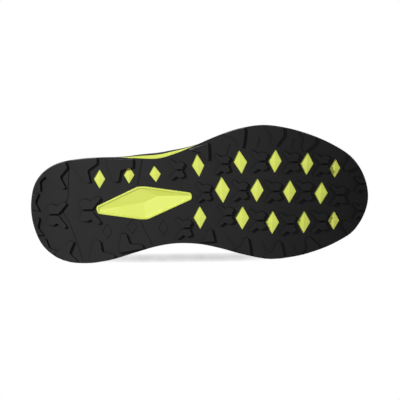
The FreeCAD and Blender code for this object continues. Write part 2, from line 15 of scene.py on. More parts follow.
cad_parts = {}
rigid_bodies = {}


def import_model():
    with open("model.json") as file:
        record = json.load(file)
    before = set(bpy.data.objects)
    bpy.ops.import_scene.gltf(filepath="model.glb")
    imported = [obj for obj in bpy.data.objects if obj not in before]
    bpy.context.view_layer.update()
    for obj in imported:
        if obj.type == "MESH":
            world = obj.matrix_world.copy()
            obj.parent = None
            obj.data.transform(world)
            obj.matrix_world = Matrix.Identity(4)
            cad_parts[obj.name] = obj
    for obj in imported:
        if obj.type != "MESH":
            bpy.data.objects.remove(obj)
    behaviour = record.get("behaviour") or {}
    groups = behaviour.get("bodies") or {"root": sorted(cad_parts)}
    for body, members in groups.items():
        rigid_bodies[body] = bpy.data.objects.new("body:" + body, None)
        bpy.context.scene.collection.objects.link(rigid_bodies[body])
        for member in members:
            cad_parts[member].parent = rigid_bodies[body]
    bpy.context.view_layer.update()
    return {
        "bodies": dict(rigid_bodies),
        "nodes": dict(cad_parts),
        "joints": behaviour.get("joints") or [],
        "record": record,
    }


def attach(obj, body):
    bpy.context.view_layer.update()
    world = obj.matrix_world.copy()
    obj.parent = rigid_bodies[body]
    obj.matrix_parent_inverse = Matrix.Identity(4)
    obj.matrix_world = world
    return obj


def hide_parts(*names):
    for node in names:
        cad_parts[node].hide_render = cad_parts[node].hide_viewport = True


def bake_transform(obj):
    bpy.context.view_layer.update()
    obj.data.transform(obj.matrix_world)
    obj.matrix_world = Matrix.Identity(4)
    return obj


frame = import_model()
MM = 0.001

# %% [markdown]
# ## Camera and light
# The shoe is shown from below, lying on its inner side, so the camera sits under the sole and looks
# up at it, a few degrees towards the outer side. A long lens keeps the tread free of perspective.
# A small lamp rakes over the tread from the heel, because lugs only read by their shadows, and a
# weak one softens them. Two broad lamps light the upper, and the world fills the rest with white.

# %% Camera
LENS, SENSOR = 500.0, 36.0  # millimetres
VIEW_WIDTH = 354.8 * MM
TILT = math.radians(5.0)
TARGET = Vector((0.2, 5.3, 6.0)) * MM
scene = bpy.context.scene
distance = VIEW_WIDTH * LENS / SENSOR
camera = bpy.data.objects.new("camera", bpy.data.cameras.new("camera"))
camera.data.lens = LENS
camera.data.clip_start, camera.data.clip_end = 0.1, 30.0
back = Vector((0.0, -math.sin(TILT), -math.cos(TILT)))
camera.location = TARGET + back * distance
right = Vector((1.0, 0.0, 0.0))
upward = back.cross(right)
camera.rotation_euler = Matrix((right, upward, back)).transposed().to_euler()
scene.collection.objects.link(camera)
scene.camera = camera
print("camera stands", round(distance, 3), "m from the sole")


# %% Lamps and world
def lamp(name, place, target, size, power):
    """Adds a soft square lamp that faces its target."""
    data = bpy.data.lights.new(name, "AREA")
    data.size, data.energy = size, power
    item = bpy.data.objects.new(name, data)
    item.location = place
    item.rotation_euler = (Vector(target) - Vector(place)).to_track_quat("-Z", "Y").to_euler()
    scene.collection.objects.link(item)


lamp("heel_rake", (-0.85, -0.5, -1.25), (0.0, 0.0, 0.0), 0.1, 23.0)
lamp("sole_fill", (0.5, -0.3, -1.2), (0.0, 0.0, 0.0), 0.8, 2.0)
lamp("key_above", (-0.7, -0.9, 1.3), (0.0, 0.0, 0.05), 0.8, 26.0)
lamp("rim_above", (0.9, 0.9, 0.9), (0.0, 0.0, 0.05), 0.7, 13.0)
WORLD_SEEN, WORLD_LIGHT = 1.0, 0.26
world = bpy.data.worlds.new("white_room")
scene.world = world
world.use_nodes = True
sky = world.node_tree
shown, lit = sky.nodes["Background"], sky.nodes.new("ShaderNodeBackground")
for background, strength in ((shown, WORLD_SEEN), (lit, WORLD_LIGHT)):
    background.inputs["Color"].default_value = (1.0, 1.0, 1.0, 1.0)
    background.inputs["Strength"].default_value = strength
rays = sky.nodes.new("ShaderNodeLightPath")
choose = sky.nodes.new("ShaderNodeMixShader")
sky.links.new(rays.outputs["Is Camera Ray"], choose.inputs["Fac"])
sky.links.new(lit.outputs[0], choose.inputs[1])
sky.links.new(shown.outputs[0], choose.inputs[2])
sky.links.new(choose.outputs[0], sky.nodes["World Output"].inputs["Surface"])
scene.view_settings.view_transform = "Standard"

# %% [markdown]
# ## Writing shaders as sums
# A pattern is arithmetic on a few textures. The small class below wraps a shader socket, so that
# `grain * 0.4 + 0.6` adds the Math nodes itself, and a finish is one material whose other nodes
# all come from a single method.


# %% Shader sockets as values
class Value:
    """A number carried by a shader socket."""

    def __init__(self, finish, socket):
        self.finish = finish
        self.socket = socket

    def math(self, operation, *others):
        return self.finish.node("Math", {"operation": operation},
                                dict(enumerate((self, *others))))

    def limited(self):
        """The value held between 0 and 1."""
        return self.math("MINIMUM", 1.0).math("MAXIMUM", 0.0)

    def __add__(self, other):
        return self.math("ADD", other)

    __radd__ = __add__

    def __mul__(self, other):
        return self.math("MULTIPLY", other)

    __rmul__ = __mul__

    def __sub__(self, other):
        return self.math("SUBTRACT", other)

    def __rsub__(self, other):
        return self * -1 + other

    def __gt__(self, other):
        return self.math("GREATER_THAN", other)


class Finish:
    """One material. Constant settings of its shader are given by name."""

    def __init__(self, name, **constants):
        self.material = bpy.data.materials.new(name)
        self.material.use_nodes = True
        self.tree = self.material.node_tree
        self.shader = self.tree.nodes["Principled BSDF"]
        for key, value in constants.items():
            self.shader.inputs[key.replace("_", " ")].default_value = value

    def node(self, kind, settings=None, inputs=None, output=0):
        """Adds a node: its settings first, then the value or link of each socket."""
        made = self.tree.nodes.new("ShaderNode" + kind)
        for key, value in (settings or {}).items():
            setattr(made, key, value)
        for key, value in (inputs or {}).items():
            if isinstance(value, Value):
                self.tree.links.new(value.socket, made.inputs[key])
            else:
                made.inputs[key].default_value = value
        return Value(self, made.outputs[output])

    def place(self):
        """Object coordinates in millimetres."""
        spot = self.node("TexCoord", output="Object")
        return self.node("VectorMath", {"operation": "SCALE"}, {0: spot, "Scale": 1000.0})

    def axes(self, where):
        """x, y and z of a vector."""
        return [self.node("SeparateXYZ", inputs={0: where}, output=i) for i in range(3)]

    def cloth(self):
        """Shares across and along the piece's own map, each from 0 to 1."""
        return self.axes(self.node("UVMap", {"uv_map": "cloth"}))[:2]

    def noise(self, where, size, detail=3.0, rough=0.5):
        """Noise with features of that size in millimetres."""
        sockets = {"Vector": where, "Scale": 1.0 / size, "Detail": detail, "Roughness": rough}
        return self.node("TexNoise", None, sockets)

    def blend(self, share, low, high):
        """Colour between two colours or links."""
        inputs = {0: share, 6: low, 7: high}
        return self.node("Mix", {"data_type": "RGBA", "clamp_factor": True}, inputs, 2)

    def feed(self, socket, value):
        self.tree.links.new(value.socket, self.shader.inputs[socket])

    def bump(self, height, depth, strength=1.0):
        """Relief of a height from 0 to 1, depth millimetres deep."""
        inputs = {"Height": height, "Distance": depth * MM, "Strength": strength}
        self.feed("Normal", self.node("Bump", None, inputs))


def grey(value):
    return (value, value, value * 1.02, 1.0)


LIME = (0.62, 0.70, 0.095, 1.0)
LIME_PALE = (0.70, 0.77, 0.15, 1.0)
LIME_DEEP = (0.42, 0.50, 0.06, 1.0)

# %% [markdown]
# ## Tread rubber
# Carbon rubber is near black and matt. The mould leaves a fine grain, the tips of the lugs are
# rubbed smoother, and dust lightens it a little and unevenly. Its colour is also painted lighter
# at the heel and darker towards the toe, as a painted falloff of the lamp's light. The heel's end
# is scuffed rougher.


# %% Rubber finish
def tread_rubber():
    made = Finish("tread_rubber", Specular_IOR_Level=0.22)
    where = made.place()
    grain = made.noise(where, 0.35, 2.0, 0.6)
    cloud = made.noise(where, 26.0, 4.0, 0.55)
    dust = made.noise(where, 3.5, 5.0, 0.7)
    share = cloud * 0.6 + dust * 0.4
    x = made.axes(where)[0]
    # painted light: the colour runs from a lighter heel to a darker toe, a painted falloff of the
    # rake lamp
    painted_falloff = x * 0.006 + 0.62
    scuffed = (x * -0.02 - 1.8).limited()
    heel_dust_and_light = made.blend(share, grey(0.009), grey(0.018))
    toe_painted_shade = made.blend(share, grey(0.005), grey(0.009))
    made.feed("Base Color", made.blend(painted_falloff, heel_dust_and_light, toe_painted_shade))
    made.feed("Roughness", grain * 0.16 + dust * 0.14 + scuffed * 0.24 + 0.4)
    made.bump(grain * 0.7 + dust * 0.3, 0.10, 0.7)
    return made.material


rubber = tread_rubber()

# %% [markdown]
# ## Midsole foam and arch plate
# Injected foam has a soft pebbled skin, and the windows of the tread show it bare. The arch plate
# is a harder moulding of nearly the same green, smooth enough to shine at its rim.


# %% Foam and plate finishes
def foam_skin(name, painted):
    """Lime foam; painted lays black over the upper part of the side, above its flute."""
    made = Finish(name, Specular_IOR_Level=0.18)
    where = made.place()
    pebble = made.node("TexVoronoi", {"feature": "SMOOTH_F1"},
                       {"Vector": where, "Scale": 1.1, "Smoothness": 0.6})
    cloud = made.noise(where, 18.0, 3.0)
    lime = made.blend(cloud * 1.4 - 0.2, LIME, LIME_PALE)
    if painted:
        black = made.blend(cloud, grey(0.012), grey(0.022))
        lime = made.blend(made.cloth()[1] > PAINT_LINE, lime, black)
    made.feed("Base Color", lime)
    made.feed("Roughness", pebble * 0.2 + (0.75 if painted else 0.5))
    made.bump(pebble, 0.12, 0.5)
    return made.material


def plate_plastic():
    made = Finish("plate", Specular_IOR_Level=0.45, Coat_Roughness=0.3)
    where = made.place()
    grain = made.noise(where, 0.5, 2.0, 0.6)
    cloud = made.noise(where, 22.0, 3.0)
    made.feed("Base Color", made.blend(cloud, LIME, LIME_PALE))
    made.feed("Roughness", grain * 0.12 + cloud * 0.1 + 0.34)
    made.bump(grain, 0.05, 0.5)
    return made.material


PAINT_LINE = 10.0 / 22      # share of the midsole's profile, at the bottom of its flute
foam = foam_skin("foam", False)
foam_side = foam_skin("foam_side", True)
plate = plate_plastic()

# %% [markdown]
# ## The sole's outline
# Everything below is drawn on the edge of the sole: a closed ring of 36 stations, from the heel
# tip along the outer side to the toe tip, and back along the inner side. A smooth run through the
# stations gives the edge at any place between them.

# %% Outline and side view of the sole, in millimetres
OUTER_EDGE = [(-149.9, 11.0), (-146.9, -7.5), (-138.0, -20.0), (-124.0, -28.0), (-104.0, -31.6),
              (-80.0, -32.8), (-58.0, -32.0), (-38.0, -31.6), (-22.0, -36.0), (-5.0, -43.0),
              (14.0, -51.3), (34.0, -58.2), (56.0, -61.5), (78.0, -58.6), (100.0, -51.8),
              (120.0, -42.3), (136.0, -30.7), (146.3, -14.5), (150.0, 4.0)]
INNER_EDGE = [(-149.9, 11.0), (-147.2, 29.5), (-139.0, 46.5), (-124.0, 57.6), (-104.0, 61.5),
              (-80.0, 58.7), (-58.0, 52.2), (-38.0, 46.4), (-20.0, 43.7), (0.0, 44.4),
              (18.0, 48.0), (38.0, 53.4), (60.0, 57.5), (82.0, 56.0), (102.0, 51.3),
              (120.0, 44.4), (136.0, 34.8), (146.0, 20.5), (150.0, 4.0)]
HALF = len(OUTER_EDGE) - 1
RING = 2 * HALF
SPINE = [(-160.0, 14.0), (-110.0, 14.5), (-60.0, 9.5), (-20.0, 3.5), (20.0, -0.5), (60.0, -1.0),
         (160.0, 3.0)]
LUG_HEIGHT, RUBBER_SHEET = 4.0, 2.5
FOAM = [(-150.0, 22.0), (-70.0, 22.0), (45.0, 14.0), (150.0, 10.0)]
TOE_SPRING, SPRING_START = 24.0, 50.0
HEEL_BEVEL, BEVEL_START = 7.0, -108.0
TIP = 150.0


def ramp(table, x):
    """Straight-line value of a table of (x, value) pairs."""
    if x <= table[0][0]:
        return table[0][1]
    for (x0, a), (x1, b) in zip(table, table[1:]):
        if x <= x1:
            return a + (b - a) * (x - x0) / (x1 - x0)
    return table[-1][1]


def spine(x):
    return sum(ramp(SPINE, x + d) for d in (-15, -9, -3, 3, 9, 15)) / 6


def ground(x):
    """Height of the lug tips: the toe springs up and the heel is bevelled."""
    if x > SPRING_START:
        return TOE_SPRING * ((x - SPRING_START) / (TIP - SPRING_START)) ** 2
    if x < BEVEL_START:
        return HEEL_BEVEL * ((BEVEL_START - x) / (TIP + BEVEL_START)) ** 2
    return 0.0


def footbed(x):
    thick = sum(ramp(FOAM, x + d) for d in (-25, -15, -5, 5, 15, 25)) / 6
    return ground(x) + LUG_HEIGHT + RUBBER_SHEET + thick


def ring_of(outer, inner):
    return list(outer) + list(reversed(inner[1:-1]))


def curve(a, b, c, d, s):
    """Catmull-Rom curve through four numbers or points, at share s of the way from b to c."""
    return 0.5 * (2 * b + (c - a) * s + (2 * a - 5 * b + 4 * c - d) * s * s
                  + (3 * b - a - 3 * c + d) * s ** 3)


def smooth(values, r):
    """A curve through a closed list of numbers."""
    i = math.floor(r)
    return curve(*(values[(i + k) % len(values)] for k in (-1, 0, 1, 2)), r - i)


def inset_ring(inset):
    """The ring of stations, moved inwards by inset, as a list of x and a list of y."""
    points = ring_of(OUTER_EDGE, INNER_EDGE)
    moved = []
    for i, (x, y) in enumerate(points):
        ax, ay = points[i - 1]
        bx, by = points[(i + 1) % RING]
        dx, dy = bx - ax, by - ay
        size = math.hypot(dx, dy)
        moved.append((x - dy / size * inset, y + dx / size * inset))
    return [x for x, _ in moved], [y for _, y in moved]


EDGE_X, EDGE_Y = inset_ring(0.0)


def edge(r):
    """(x, y) of the sole's edge at station r."""
    return smooth(EDGE_X, r), smooth(EDGE_Y, r)


def outward(r):
    """Unit vector out of the sole at station r, in plan."""
    (ax, ay), (bx, by) = edge(r - 0.05), edge(r + 0.05)
    size = math.hypot(bx - ax, by - ay)
    return (by - ay) / size, -(bx - ax) / size


print("edge at the ball:", [round(v, 1) for v in edge(12)], "out", outward(12))


# %% [markdown]
# ## From a mesh in millimetres to a piece
# Meshes are built in millimetres, where numbers are easy to read, and scaled once at the end.
# Each finished piece rides on a body of the frame, and the plain nodes it stands for are hidden.


# %% Finishing a piece
def piece(name, mesh, finish, body="shoe", nodes=(), slot=None, sharp=40.0):
    """Turns a bmesh in millimetres into a piece of the shoe. body None leaves it on no body."""
    bmesh.ops.scale(mesh, vec=(MM, MM, MM), verts=mesh.verts)
    data = bpy.data.meshes.new(name)
    mesh.to_mesh(data)
    mesh.free()
    for polygon in data.polygons:
        polygon.use_smooth = True
    data.set_sharp_from_angle(angle=math.radians(sharp))
    data.materials.append(finish)
    item = bpy.data.objects.new(name, data)
    scene.collection.objects.link(item)
    if body:
        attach(item, body)
    if nodes:
        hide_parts(*nodes)
    print(f"{name}: {len(data.polygons)} faces")
    return item


def mapped_grid(across, along, shape, close=False):
    """A grid of across by along quads, each corner put where shape(u, v) says. u and v are its
    cloth map too. close joins the two ends of u."""
    mesh = bmesh.new()
    bmesh.ops.create_grid(mesh, x_segments=across, y_segments=along, size=0.5)
    layer = mesh.loops.layers.uv.new("cloth")
    spots = {vert: (vert.co.x + 0.5, vert.co.y + 0.5) for vert in mesh.verts}
    for vert, (u, v) in spots.items():
        vert.co = shape(u, v)
    for face in mesh.faces:
        for loop in face.loops:
            loop[layer].uv = spots[loop.vert]
    if close:
        bmesh.ops.remove_doubles(mesh, verts=mesh.verts, dist=1e-4)
    return mesh


def faced_out(mesh):
    """Turns the faces of a closed mesh outwards."""
    bmesh.ops.recalc_face_normals(mesh, faces=mesh.faces)
    return mesh


def join(parts):
    """One mesh out of several."""
    whole = bmesh.new()
    for part in parts:
        data = bpy.data.meshes.new("part")
        part.to_mesh(data)
        part.free()
        whole.from_mesh(data)
        bpy.data.meshes.remove(data)
    return whole


def face_down(mesh):
    """Turns the faces of a flat mesh to the ground."""
    for face in mesh.faces:
        if face.normal.z > 0:
            face.normal_flip()


def extruded(mesh, faces, z):
    """Extrudes faces to a height. Returns the moved faces."""
    made = bmesh.ops.extrude_face_region(mesh, geom=faces)["geom"]
    for item in made:
        if isinstance(item, bmesh.types.BMVert):
            item.co.z = z
    return [item for item in made if isinstance(item, bmesh.types.BMFace)]


def cut(mesh, point, normal, parts=None, **options):
    """Cuts a mesh, or parts of it, along an upright plane through a point of the ground."""
    bmesh.ops.bisect_plane(mesh, geom=parts or mesh.verts[:] + mesh.edges[:] + mesh.faces[:],
                           plane_co=(*point, 0), plane_no=(*normal, 0), **options)


def set_height(mesh):
    """Lifts a flat sole mesh onto the side view's curve."""
    for vert in mesh.verts:
        vert.co.z += ground(vert.co.x)


# %% [markdown]
# ## Outsole
# One rubber moulding: a sheet with windows, lugs below it and thin flex lines. The sheet is a
# flat face with holes, filled from its outlines, cut across every few millimetres so that it can
# follow the toe spring, and given its thickness. The lugs are drawn as flat outlines with rounded
# corners; an inset gives each its draft, so that it narrows to its tip as a mould needs.

# %% Windows and flex lines
# x, y, half width, half height and how far the lower corner leans to the toe
WINDOWS = [(-1.7, -25.6, 5.5, 10.2, 2.0), (35.8, -28.7, 6.0, 10.6, 2.4),
           (66.6, -29.4, 5.8, 10.6, -0.8), (95.0, -26.7, 5.7, 10.2, -1.2),
           (120.1, -22.0, 4.7, 8.4, -0.8), (19.8, -3.9, 6.6, 11.8, 1.6),
           (50.6, -3.6, 5.9, 10.6, -0.8), (79.5, -2.3, 5.9, 10.4, -0.8),
           (107.6, -0.3, 5.9, 10.2, -1.2), (0.0, 20.7, 5.7, 10.3, 0.6),
           (37.6, 21.1, 6.0, 10.6, -0.3), (64.3, 25.1, 5.9, 10.5, -0.5),
           (92.3, 25.2, 5.7, 10.2, -0.5), (119.0, 24.4, 4.9, 8.6, -0.4),
           (-89.0, -13.6, 5.0, 8.6, 0.0), (-62.8, -17.1, 4.7, 7.8, -0.2),
           (-39.8, -18.1, 5.1, 7.4, 1.8)]
BLIND_WINDOWS = [(-82.0, 33.0, 4.2, 6.8), (-60.0, 28.6, 4.4, 6.6), (-32.3, 29.6, 4.2, 6.8)]
RHOMBUS = [(-92.0, 10.9), (-54.9, -6.9), (-47.5, -6.9), (-7.4, -1.4), (-6.6, 4.3),
           (-46.0, 22.3), (-53.0, 22.3), (-90.6, 17.3)]
FLEX_LINES = [[(-115.8, -30.0), (-116.4, 1.5), (-121.1, 15.5), (-114.5, 27.0), (-108.8, 42.2),
               (-103.0, 59.5)],
              [(-51.0, -30.0), (-55.0, -8.0)],
              [(-52.0, 24.5), (-41.5, 45.5)]]
LINE_HALF = 0.55
SKIN = 0.9                  # depth of the flex lines


def diamond(x, y, wide, high, lean=0.0, grow=0.0):
    """Corners of a window whose sides are moved outwards by grow."""
    slope = math.hypot(wide, high)
    w, h = wide + grow * slope / high, high + grow * slope / wide
    return [(x - w, y), (x - lean / 2, y - h), (x + w, y), (x + lean / 2, y + h)]


def flat_face(mesh, outline, z=0.0, radius=0.0, steps=3):
    """Adds a face at height z. A radius rounds the corners of its outline."""
    verts = [mesh.verts.new((x, y, z)) for x, y in outline]
    mesh.faces.new(verts)
    if radius:
        bmesh.ops.bevel(mesh, geom=verts, offset=radius, offset_type="OFFSET", segments=steps,
                        profile=0.5, affect="VERTICES", material=-1)


def outline_loop(mesh, outline, z=0.0, radius=0.0):
    """Adds only the closed run of edges round an outline."""
    before = set(mesh.faces)
    flat_face(mesh, outline, z, radius)
    new = [f for f in mesh.faces if f not in before]
    bmesh.ops.delete(mesh, geom=new, context="FACES_ONLY")


def slot_outline(path):
    """Outline of a thin line along a path, out along one side and back along the other."""
    left, right_side = [], []
    for i, (x, y) in enumerate(path):
        (ax, ay), (bx, by) = path[max(i - 1, 0)], path[min(i + 1, len(path) - 1)]
        size = math.hypot(bx - ax, by - ay)
        nx, ny = (ay - by) / size * LINE_HALF, (bx - ax) / size * LINE_HALF
        left.append((x + nx, y + ny))
        right_side.append((x - nx, y - ny))
    return left + right_side[::-1]


def rubber_layer(low, high, lines):
    """One layer of the sheet between two heights, with or without the flex lines."""
    mesh = bmesh.new()
    outline_loop(mesh, [edge(r / 6) for r in range(RING * 6)])
    for window in WINDOWS:
        outline_loop(mesh, diamond(*window, grow=0.1), radius=0.4)
    outline_loop(mesh, RHOMBUS, radius=2.0)
    for path in lines:
        outline_loop(mesh, slot_outline(path))
    bmesh.ops.triangle_fill(mesh, edges=mesh.edges, use_beauty=True)
    for x in range(-146, 150, 4):
        cut(mesh, (x, 0), (1, 0))
    face_down(mesh)
    for vert in mesh.verts:
        vert.co.z = low
    extruded(mesh, mesh.faces[:], high)
    return faced_out(mesh)


skin_layer = rubber_layer(LUG_HEIGHT, LUG_HEIGHT + SKIN, FLEX_LINES)
base_layer = rubber_layer(LUG_HEIGHT + SKIN, LUG_HEIGHT + RUBBER_SHEET, [])
print("sheet faces:", len(skin_layer.faces), len(base_layer.faces))

# %% Lug outlines, in millimetres
WING = [(-1.6, 0.5), (-8.0, 8.4), (-6.6, 10.1), (-4.8, 9.9), (-0.7, 6.7), (2.6, 8.4), (6.6, 7.3),
        (7.9, 4.8), (6.0, 2.6), (6.3, 0.5)]
BUTTERFLIES = [(-20.2, -22.0, 0.9), (19.8, -27.1, 0.95), (52.6, -29.5, 1.0), (81.0, -28.7, 1.0),
               (108.0, -26.3, 1.0), (3.6, -2.0, 0.9), (35.6, -3.6, 0.95), (64.8, -2.8, 1.0),
               (92.6, -2.3, 1.0), (123.0, 1.6, 0.95), (-14.2, 30.0, 0.95), (23.1, 18.7, 0.95),
               (51.0, 23.1, 1.0), (78.1, 26.3, 1.0), (106.4, 24.7, 1.0), (143.4, -7.6, 0.72),
               (141.8, 16.4, 0.72)]
HEEL_BUTTERFLIES = [(-127.2, 18.2, 1.18), (-97.4, 14.0, 1.24)]
FORE_LUG = [(-1.2, 0.3), (1.4, 0.0), (6.0, 8.0), (15.2, 10.4), (16.0, 26.0), (-2.2, 26.0),
            (-2.4, 12.0)]
TOE_LUG = [(0.0, 0.0), (4.0, 3.5), (3.6, 11.0), (9.0, 16.0), (9.0, 28.0), (-5.0, 28.0),
           (-7.0, 10.0)]
HEEL_LUG = [(1.6, 0.2), (12.8, 14.0), (15.0, 28.0), (-7.8, 28.0), (-8.0, 16.8), (0.4, 10.8),
            (-2.0, 0.0)]
WAIST_LUG = [(2.0, 0.0), (6.5, 16.0), (7.0, 28.0), (-15.5, 28.0), (-15.5, 13.0), (-4.5, 10.6),
             (-2.8, 0.6)]
RIM_LUG = [(-8.4, -3.2), (0.0, 0.0), (8.4, -4.6), (7.0, 1.5), (6.0, 14.0), (-6.0, 14.0),
           (-7.0, 1.0)]
EDGE_LUGS = [(FORE_LUG, 7.1, -30.3, -1, -7), (FORE_LUG, 36.9, -41.6, -1, 2),
             (TOE_LUG, 66.8, -42.4, -1, 3), (TOE_LUG, 93.1, -37.1, -1, 15),
             (TOE_LUG, 129.0, -18.7, -1, 35), (FORE_LUG, 9.3, 30.3, 1, 8),
             (FORE_LUG, 41.8, 38.1, 1, 4), (FORE_LUG, 70.2, 41.2, 1, 8),
             (TOE_LUG, 96.8, 36.9, 1, 12), (TOE_LUG, 127.7, 24.0, 1, 35),
             (HEEL_LUG, -120.6, -5.3, -1, -16), (HEEL_LUG, -99.2, -10.7, -1, 0),
             (WAIST_LUG, -74.8, -11.1, -1, 0), (HEEL_LUG, -113.5, 41.3, 1, -10),
             (WAIST_LUG, -91.2, 40.3, 1, 0), (WAIST_LUG, -68.1, 34.1, 1, 10),
             (RIM_LUG, -141.5, -11.2, -1, -64), (RIM_LUG, -146.0, 7.2, -1, -88),
             (RIM_LUG, -143.6, 29.8, 1, -72), (RIM_LUG, -133.6, 47.6, 1, -42)]
RIDGES = [(24.6, -39.9, 16), (51.5, -46.4, 12), (82.1, -44.9, 12), (27.1, 41.9, -38),
          (56.5, 45.6, -24), (84.2, 49.0, -26)]
LUG_SINK = 0.6              # how far a lug's root reaches into the sheet
DRAFT = 0.4
LUG_ROUND = 0.3


# %% Lugs
def turned(shape, x, y, side, turn):
    """An edge lug, drawn as (towards the heel, outwards), in sole coordinates."""
    c, s = math.cos(math.radians(turn)), math.sin(math.radians(turn))
    return [(x - h * c + o * s, y + side * (h * s + o * c)) for h, o in shape]


def wings(x, y, size, way):
    """Both wings of a butterfly lug; its V opens to the heel if way is 1."""
    return [[(x + way * size * u, y + side * size * v) for u, v in WING] for side in (1, -1)]


def trim_to_edge(mesh, inset):
    """Cuts a flat mesh back to the nearest stretch of the sole's edge, plane by plane."""
    centre = sum((v.co for v in mesh.verts), Vector()) / len(mesh.verts)
    near = min((k / 3 for k in range(RING * 3)),
               key=lambda r: (Vector((*edge(r), centre.z)) - centre).length)
    for k in range(-4, 5):
        r = near + k / 3
        x, y = edge(r)
        nx, ny = outward(r)
        cut(mesh, (x - nx * inset, y - ny * inset), (nx, ny), clear_outer=True)


def lug(outline, at_edge, height=LUG_HEIGHT, draft=DRAFT, radius=0.45):
    """One lug: root in the sheet, drafted sides, softened tip."""
    mesh = bmesh.new()
    flat_face(mesh, outline, LUG_HEIGHT + LUG_SINK, radius, 2)
    if at_edge:
        trim_to_edge(mesh, 0.2)
        bmesh.ops.dissolve_limit(mesh, angle_limit=0.02, verts=mesh.verts, edges=mesh.edges)
    face_down(mesh)
    roots = mesh.faces[:]
    bmesh.ops.inset_individual(mesh, faces=roots, thickness=draft, use_even_offset=True)
    for face in roots:
        for vert in face.verts:
            vert.co.z = LUG_HEIGHT - height
    rim = {e for face in roots for e in face.edges}
    bmesh.ops.bevel(mesh, geom=list(rim), offset=LUG_ROUND, offset_type="OFFSET", segments=2,
                    profile=0.5, affect="EDGES", material=-1, clamp_overlap=True)
    return mesh


lugs = [lug(outline, at[0] > 130) for at in BUTTERFLIES for outline in wings(*at, 1)]
lugs += [lug(outline, False) for at in HEEL_BUTTERFLIES for outline in wings(*at, -1)]
lugs += [lug(turned(*at), True, radius=1.0) for at in EDGE_LUGS]
for x, y, lean in RIDGES:
    bar = [(-0.5, -4.6), (0.5, -4.6), (0.5, 4.6), (-0.5, 4.6)]
    c, s = math.cos(math.radians(lean)), math.sin(math.radians(lean))
    ridge = [(x + u * c - v * s, y + u * s + v * c) for u, v in bar]
    lugs.append(lug(ridge, False, height=0.9, draft=0.15, radius=0.2))
print("lugs:", len(lugs))


# %% Blind windows and the finished outsole
def frame_ridge(x, y, wide, high):
    """A diamond ring that stands a little proud of the sheet."""
    mesh = bmesh.new()
    flat_face(mesh, diamond(x, y, wide, high), LUG_HEIGHT + LUG_SINK)
    face_down(mesh)
    middle = mesh.faces[:]
    ring = bmesh.ops.inset_individual(mesh, faces=middle, thickness=1.1, use_even_offset=True)
    bmesh.ops.delete(mesh, geom=middle, context="FACES_ONLY")
    extruded(mesh, ring["faces"], LUG_HEIGHT - 0.6)
    return mesh


frames = [frame_ridge(*window) for window in BLIND_WINDOWS]
outsole_mesh = join([skin_layer, base_layer, *lugs, *frames])
set_height(outsole_mesh)
piece("outsole_tread", outsole_mesh, rubber, nodes=["outsole"], slot="tread_rubber", sharp=35.0)

# %% [markdown]
# ## Windows and arch plate
# Behind each window the foam shows as a low four-sided pyramid, a little below the rubber. The
# arch plate is one long rhombus with a raised rim round a sunken floor that a fold divides.


# %% Foam windows
def foam_window(x, y, wide, high, lean):
    mesh = bmesh.new()
    flat_face(mesh, diamond(x, y, wide, high, lean, 0.15), LUG_HEIGHT + RUBBER_SHEET)
    face_down(mesh)
    poked = bmesh.ops.poke(mesh, faces=extruded(mesh, mesh.faces[:], LUG_HEIGHT + 1.1))
    for vert in poked["verts"]:
        vert.co.z = LUG_HEIGHT + 0.4
    return mesh


windows_mesh = join([foam_window(*window) for window in WINDOWS])
set_height(windows_mesh)
piece("foam_windows", windows_mesh, foam, slot="foam", sharp=5.0)


# %% Arch plate
RIM_INSET, FLOOR = 2.4, 3.5
# edges of the rhombus that a facet of the floor falls away from, with the slope of each
FACETS = [(0, 1, 0.15), (2, 3, 0.42), (4, 5, 0.15), (6, 7, 0.15)]


def facet(first, last, slope):
    """(a, b, c) of the depth a * x + b * y + c that grows from one edge of the rhombus."""
    (x0, y0), (x1, y1) = RHOMBUS[first], RHOMBUS[last]
    size = math.hypot(x1 - x0, y1 - y0)
    a, b = slope * (y0 - y1) / size, slope * (x1 - x0) / size
    return a, b, -a * x0 - b * y0 - slope * RIM_INSET


def arch_plate():
    mesh = bmesh.new()
    flat_face(mesh, RHOMBUS, LUG_HEIGHT + RUBBER_SHEET - 0.1, 2.0, 3)
    face_down(mesh)
    face = extruded(mesh, mesh.faces[:1], 3.0)[0]

    def step(thickness, z):
        bmesh.ops.inset_individual(mesh, faces=[face], thickness=thickness, use_even_offset=True)
        for vert in face.verts:
            vert.co.z = z

    for rim_step in ((0.3, 2.6), (0.9, 2.5), (0.4, 2.8), (0.8, FLOOR)):
        step(*rim_step)
    depths = [facet(*edge_and_slope) for edge_and_slope in FACETS]
    for i, (a0, b0, c0) in enumerate(depths):
        for a1, b1, c1 in depths[:i]:
            a, b, c = a0 - a1, b0 - b1, c0 - c1
            size = a * a + b * b
            floor = [f for f in mesh.faces if all(abs(v.co.z - FLOOR) < 0.001 for v in f.verts)]
            cut(mesh, (-c * a / size, -c * b / size), (a, b),
                list({g for f in floor for g in (f, *f.edges, *f.verts)}))
    for vert in mesh.verts:
        if abs(vert.co.z - FLOOR) < 0.001:
            fall = min(a * vert.co.x + b * vert.co.y + c for a, b, c in depths)
            vert.co.z = FLOOR + max(0.0, fall)
    return mesh


piece("arch_plate", arch_plate(), plate, nodes=["arch_shank"], slot="shank", sharp=4.0)

# %% [markdown]
# ## Midsole
# One foam moulding wraps the foot bed. Its side wall is not straight: it swells above the rubber,
# dips in a long flute and closes in to a lip that holds the upper, and at the outer waist it
# flares past the rubber. That profile, carried round the 36 stations as a mapped grid, makes the
# wall; the same rows shrink onto the middle line to close it below and on top.

# %% Midsole
LIP_HEIGHT = 5.0
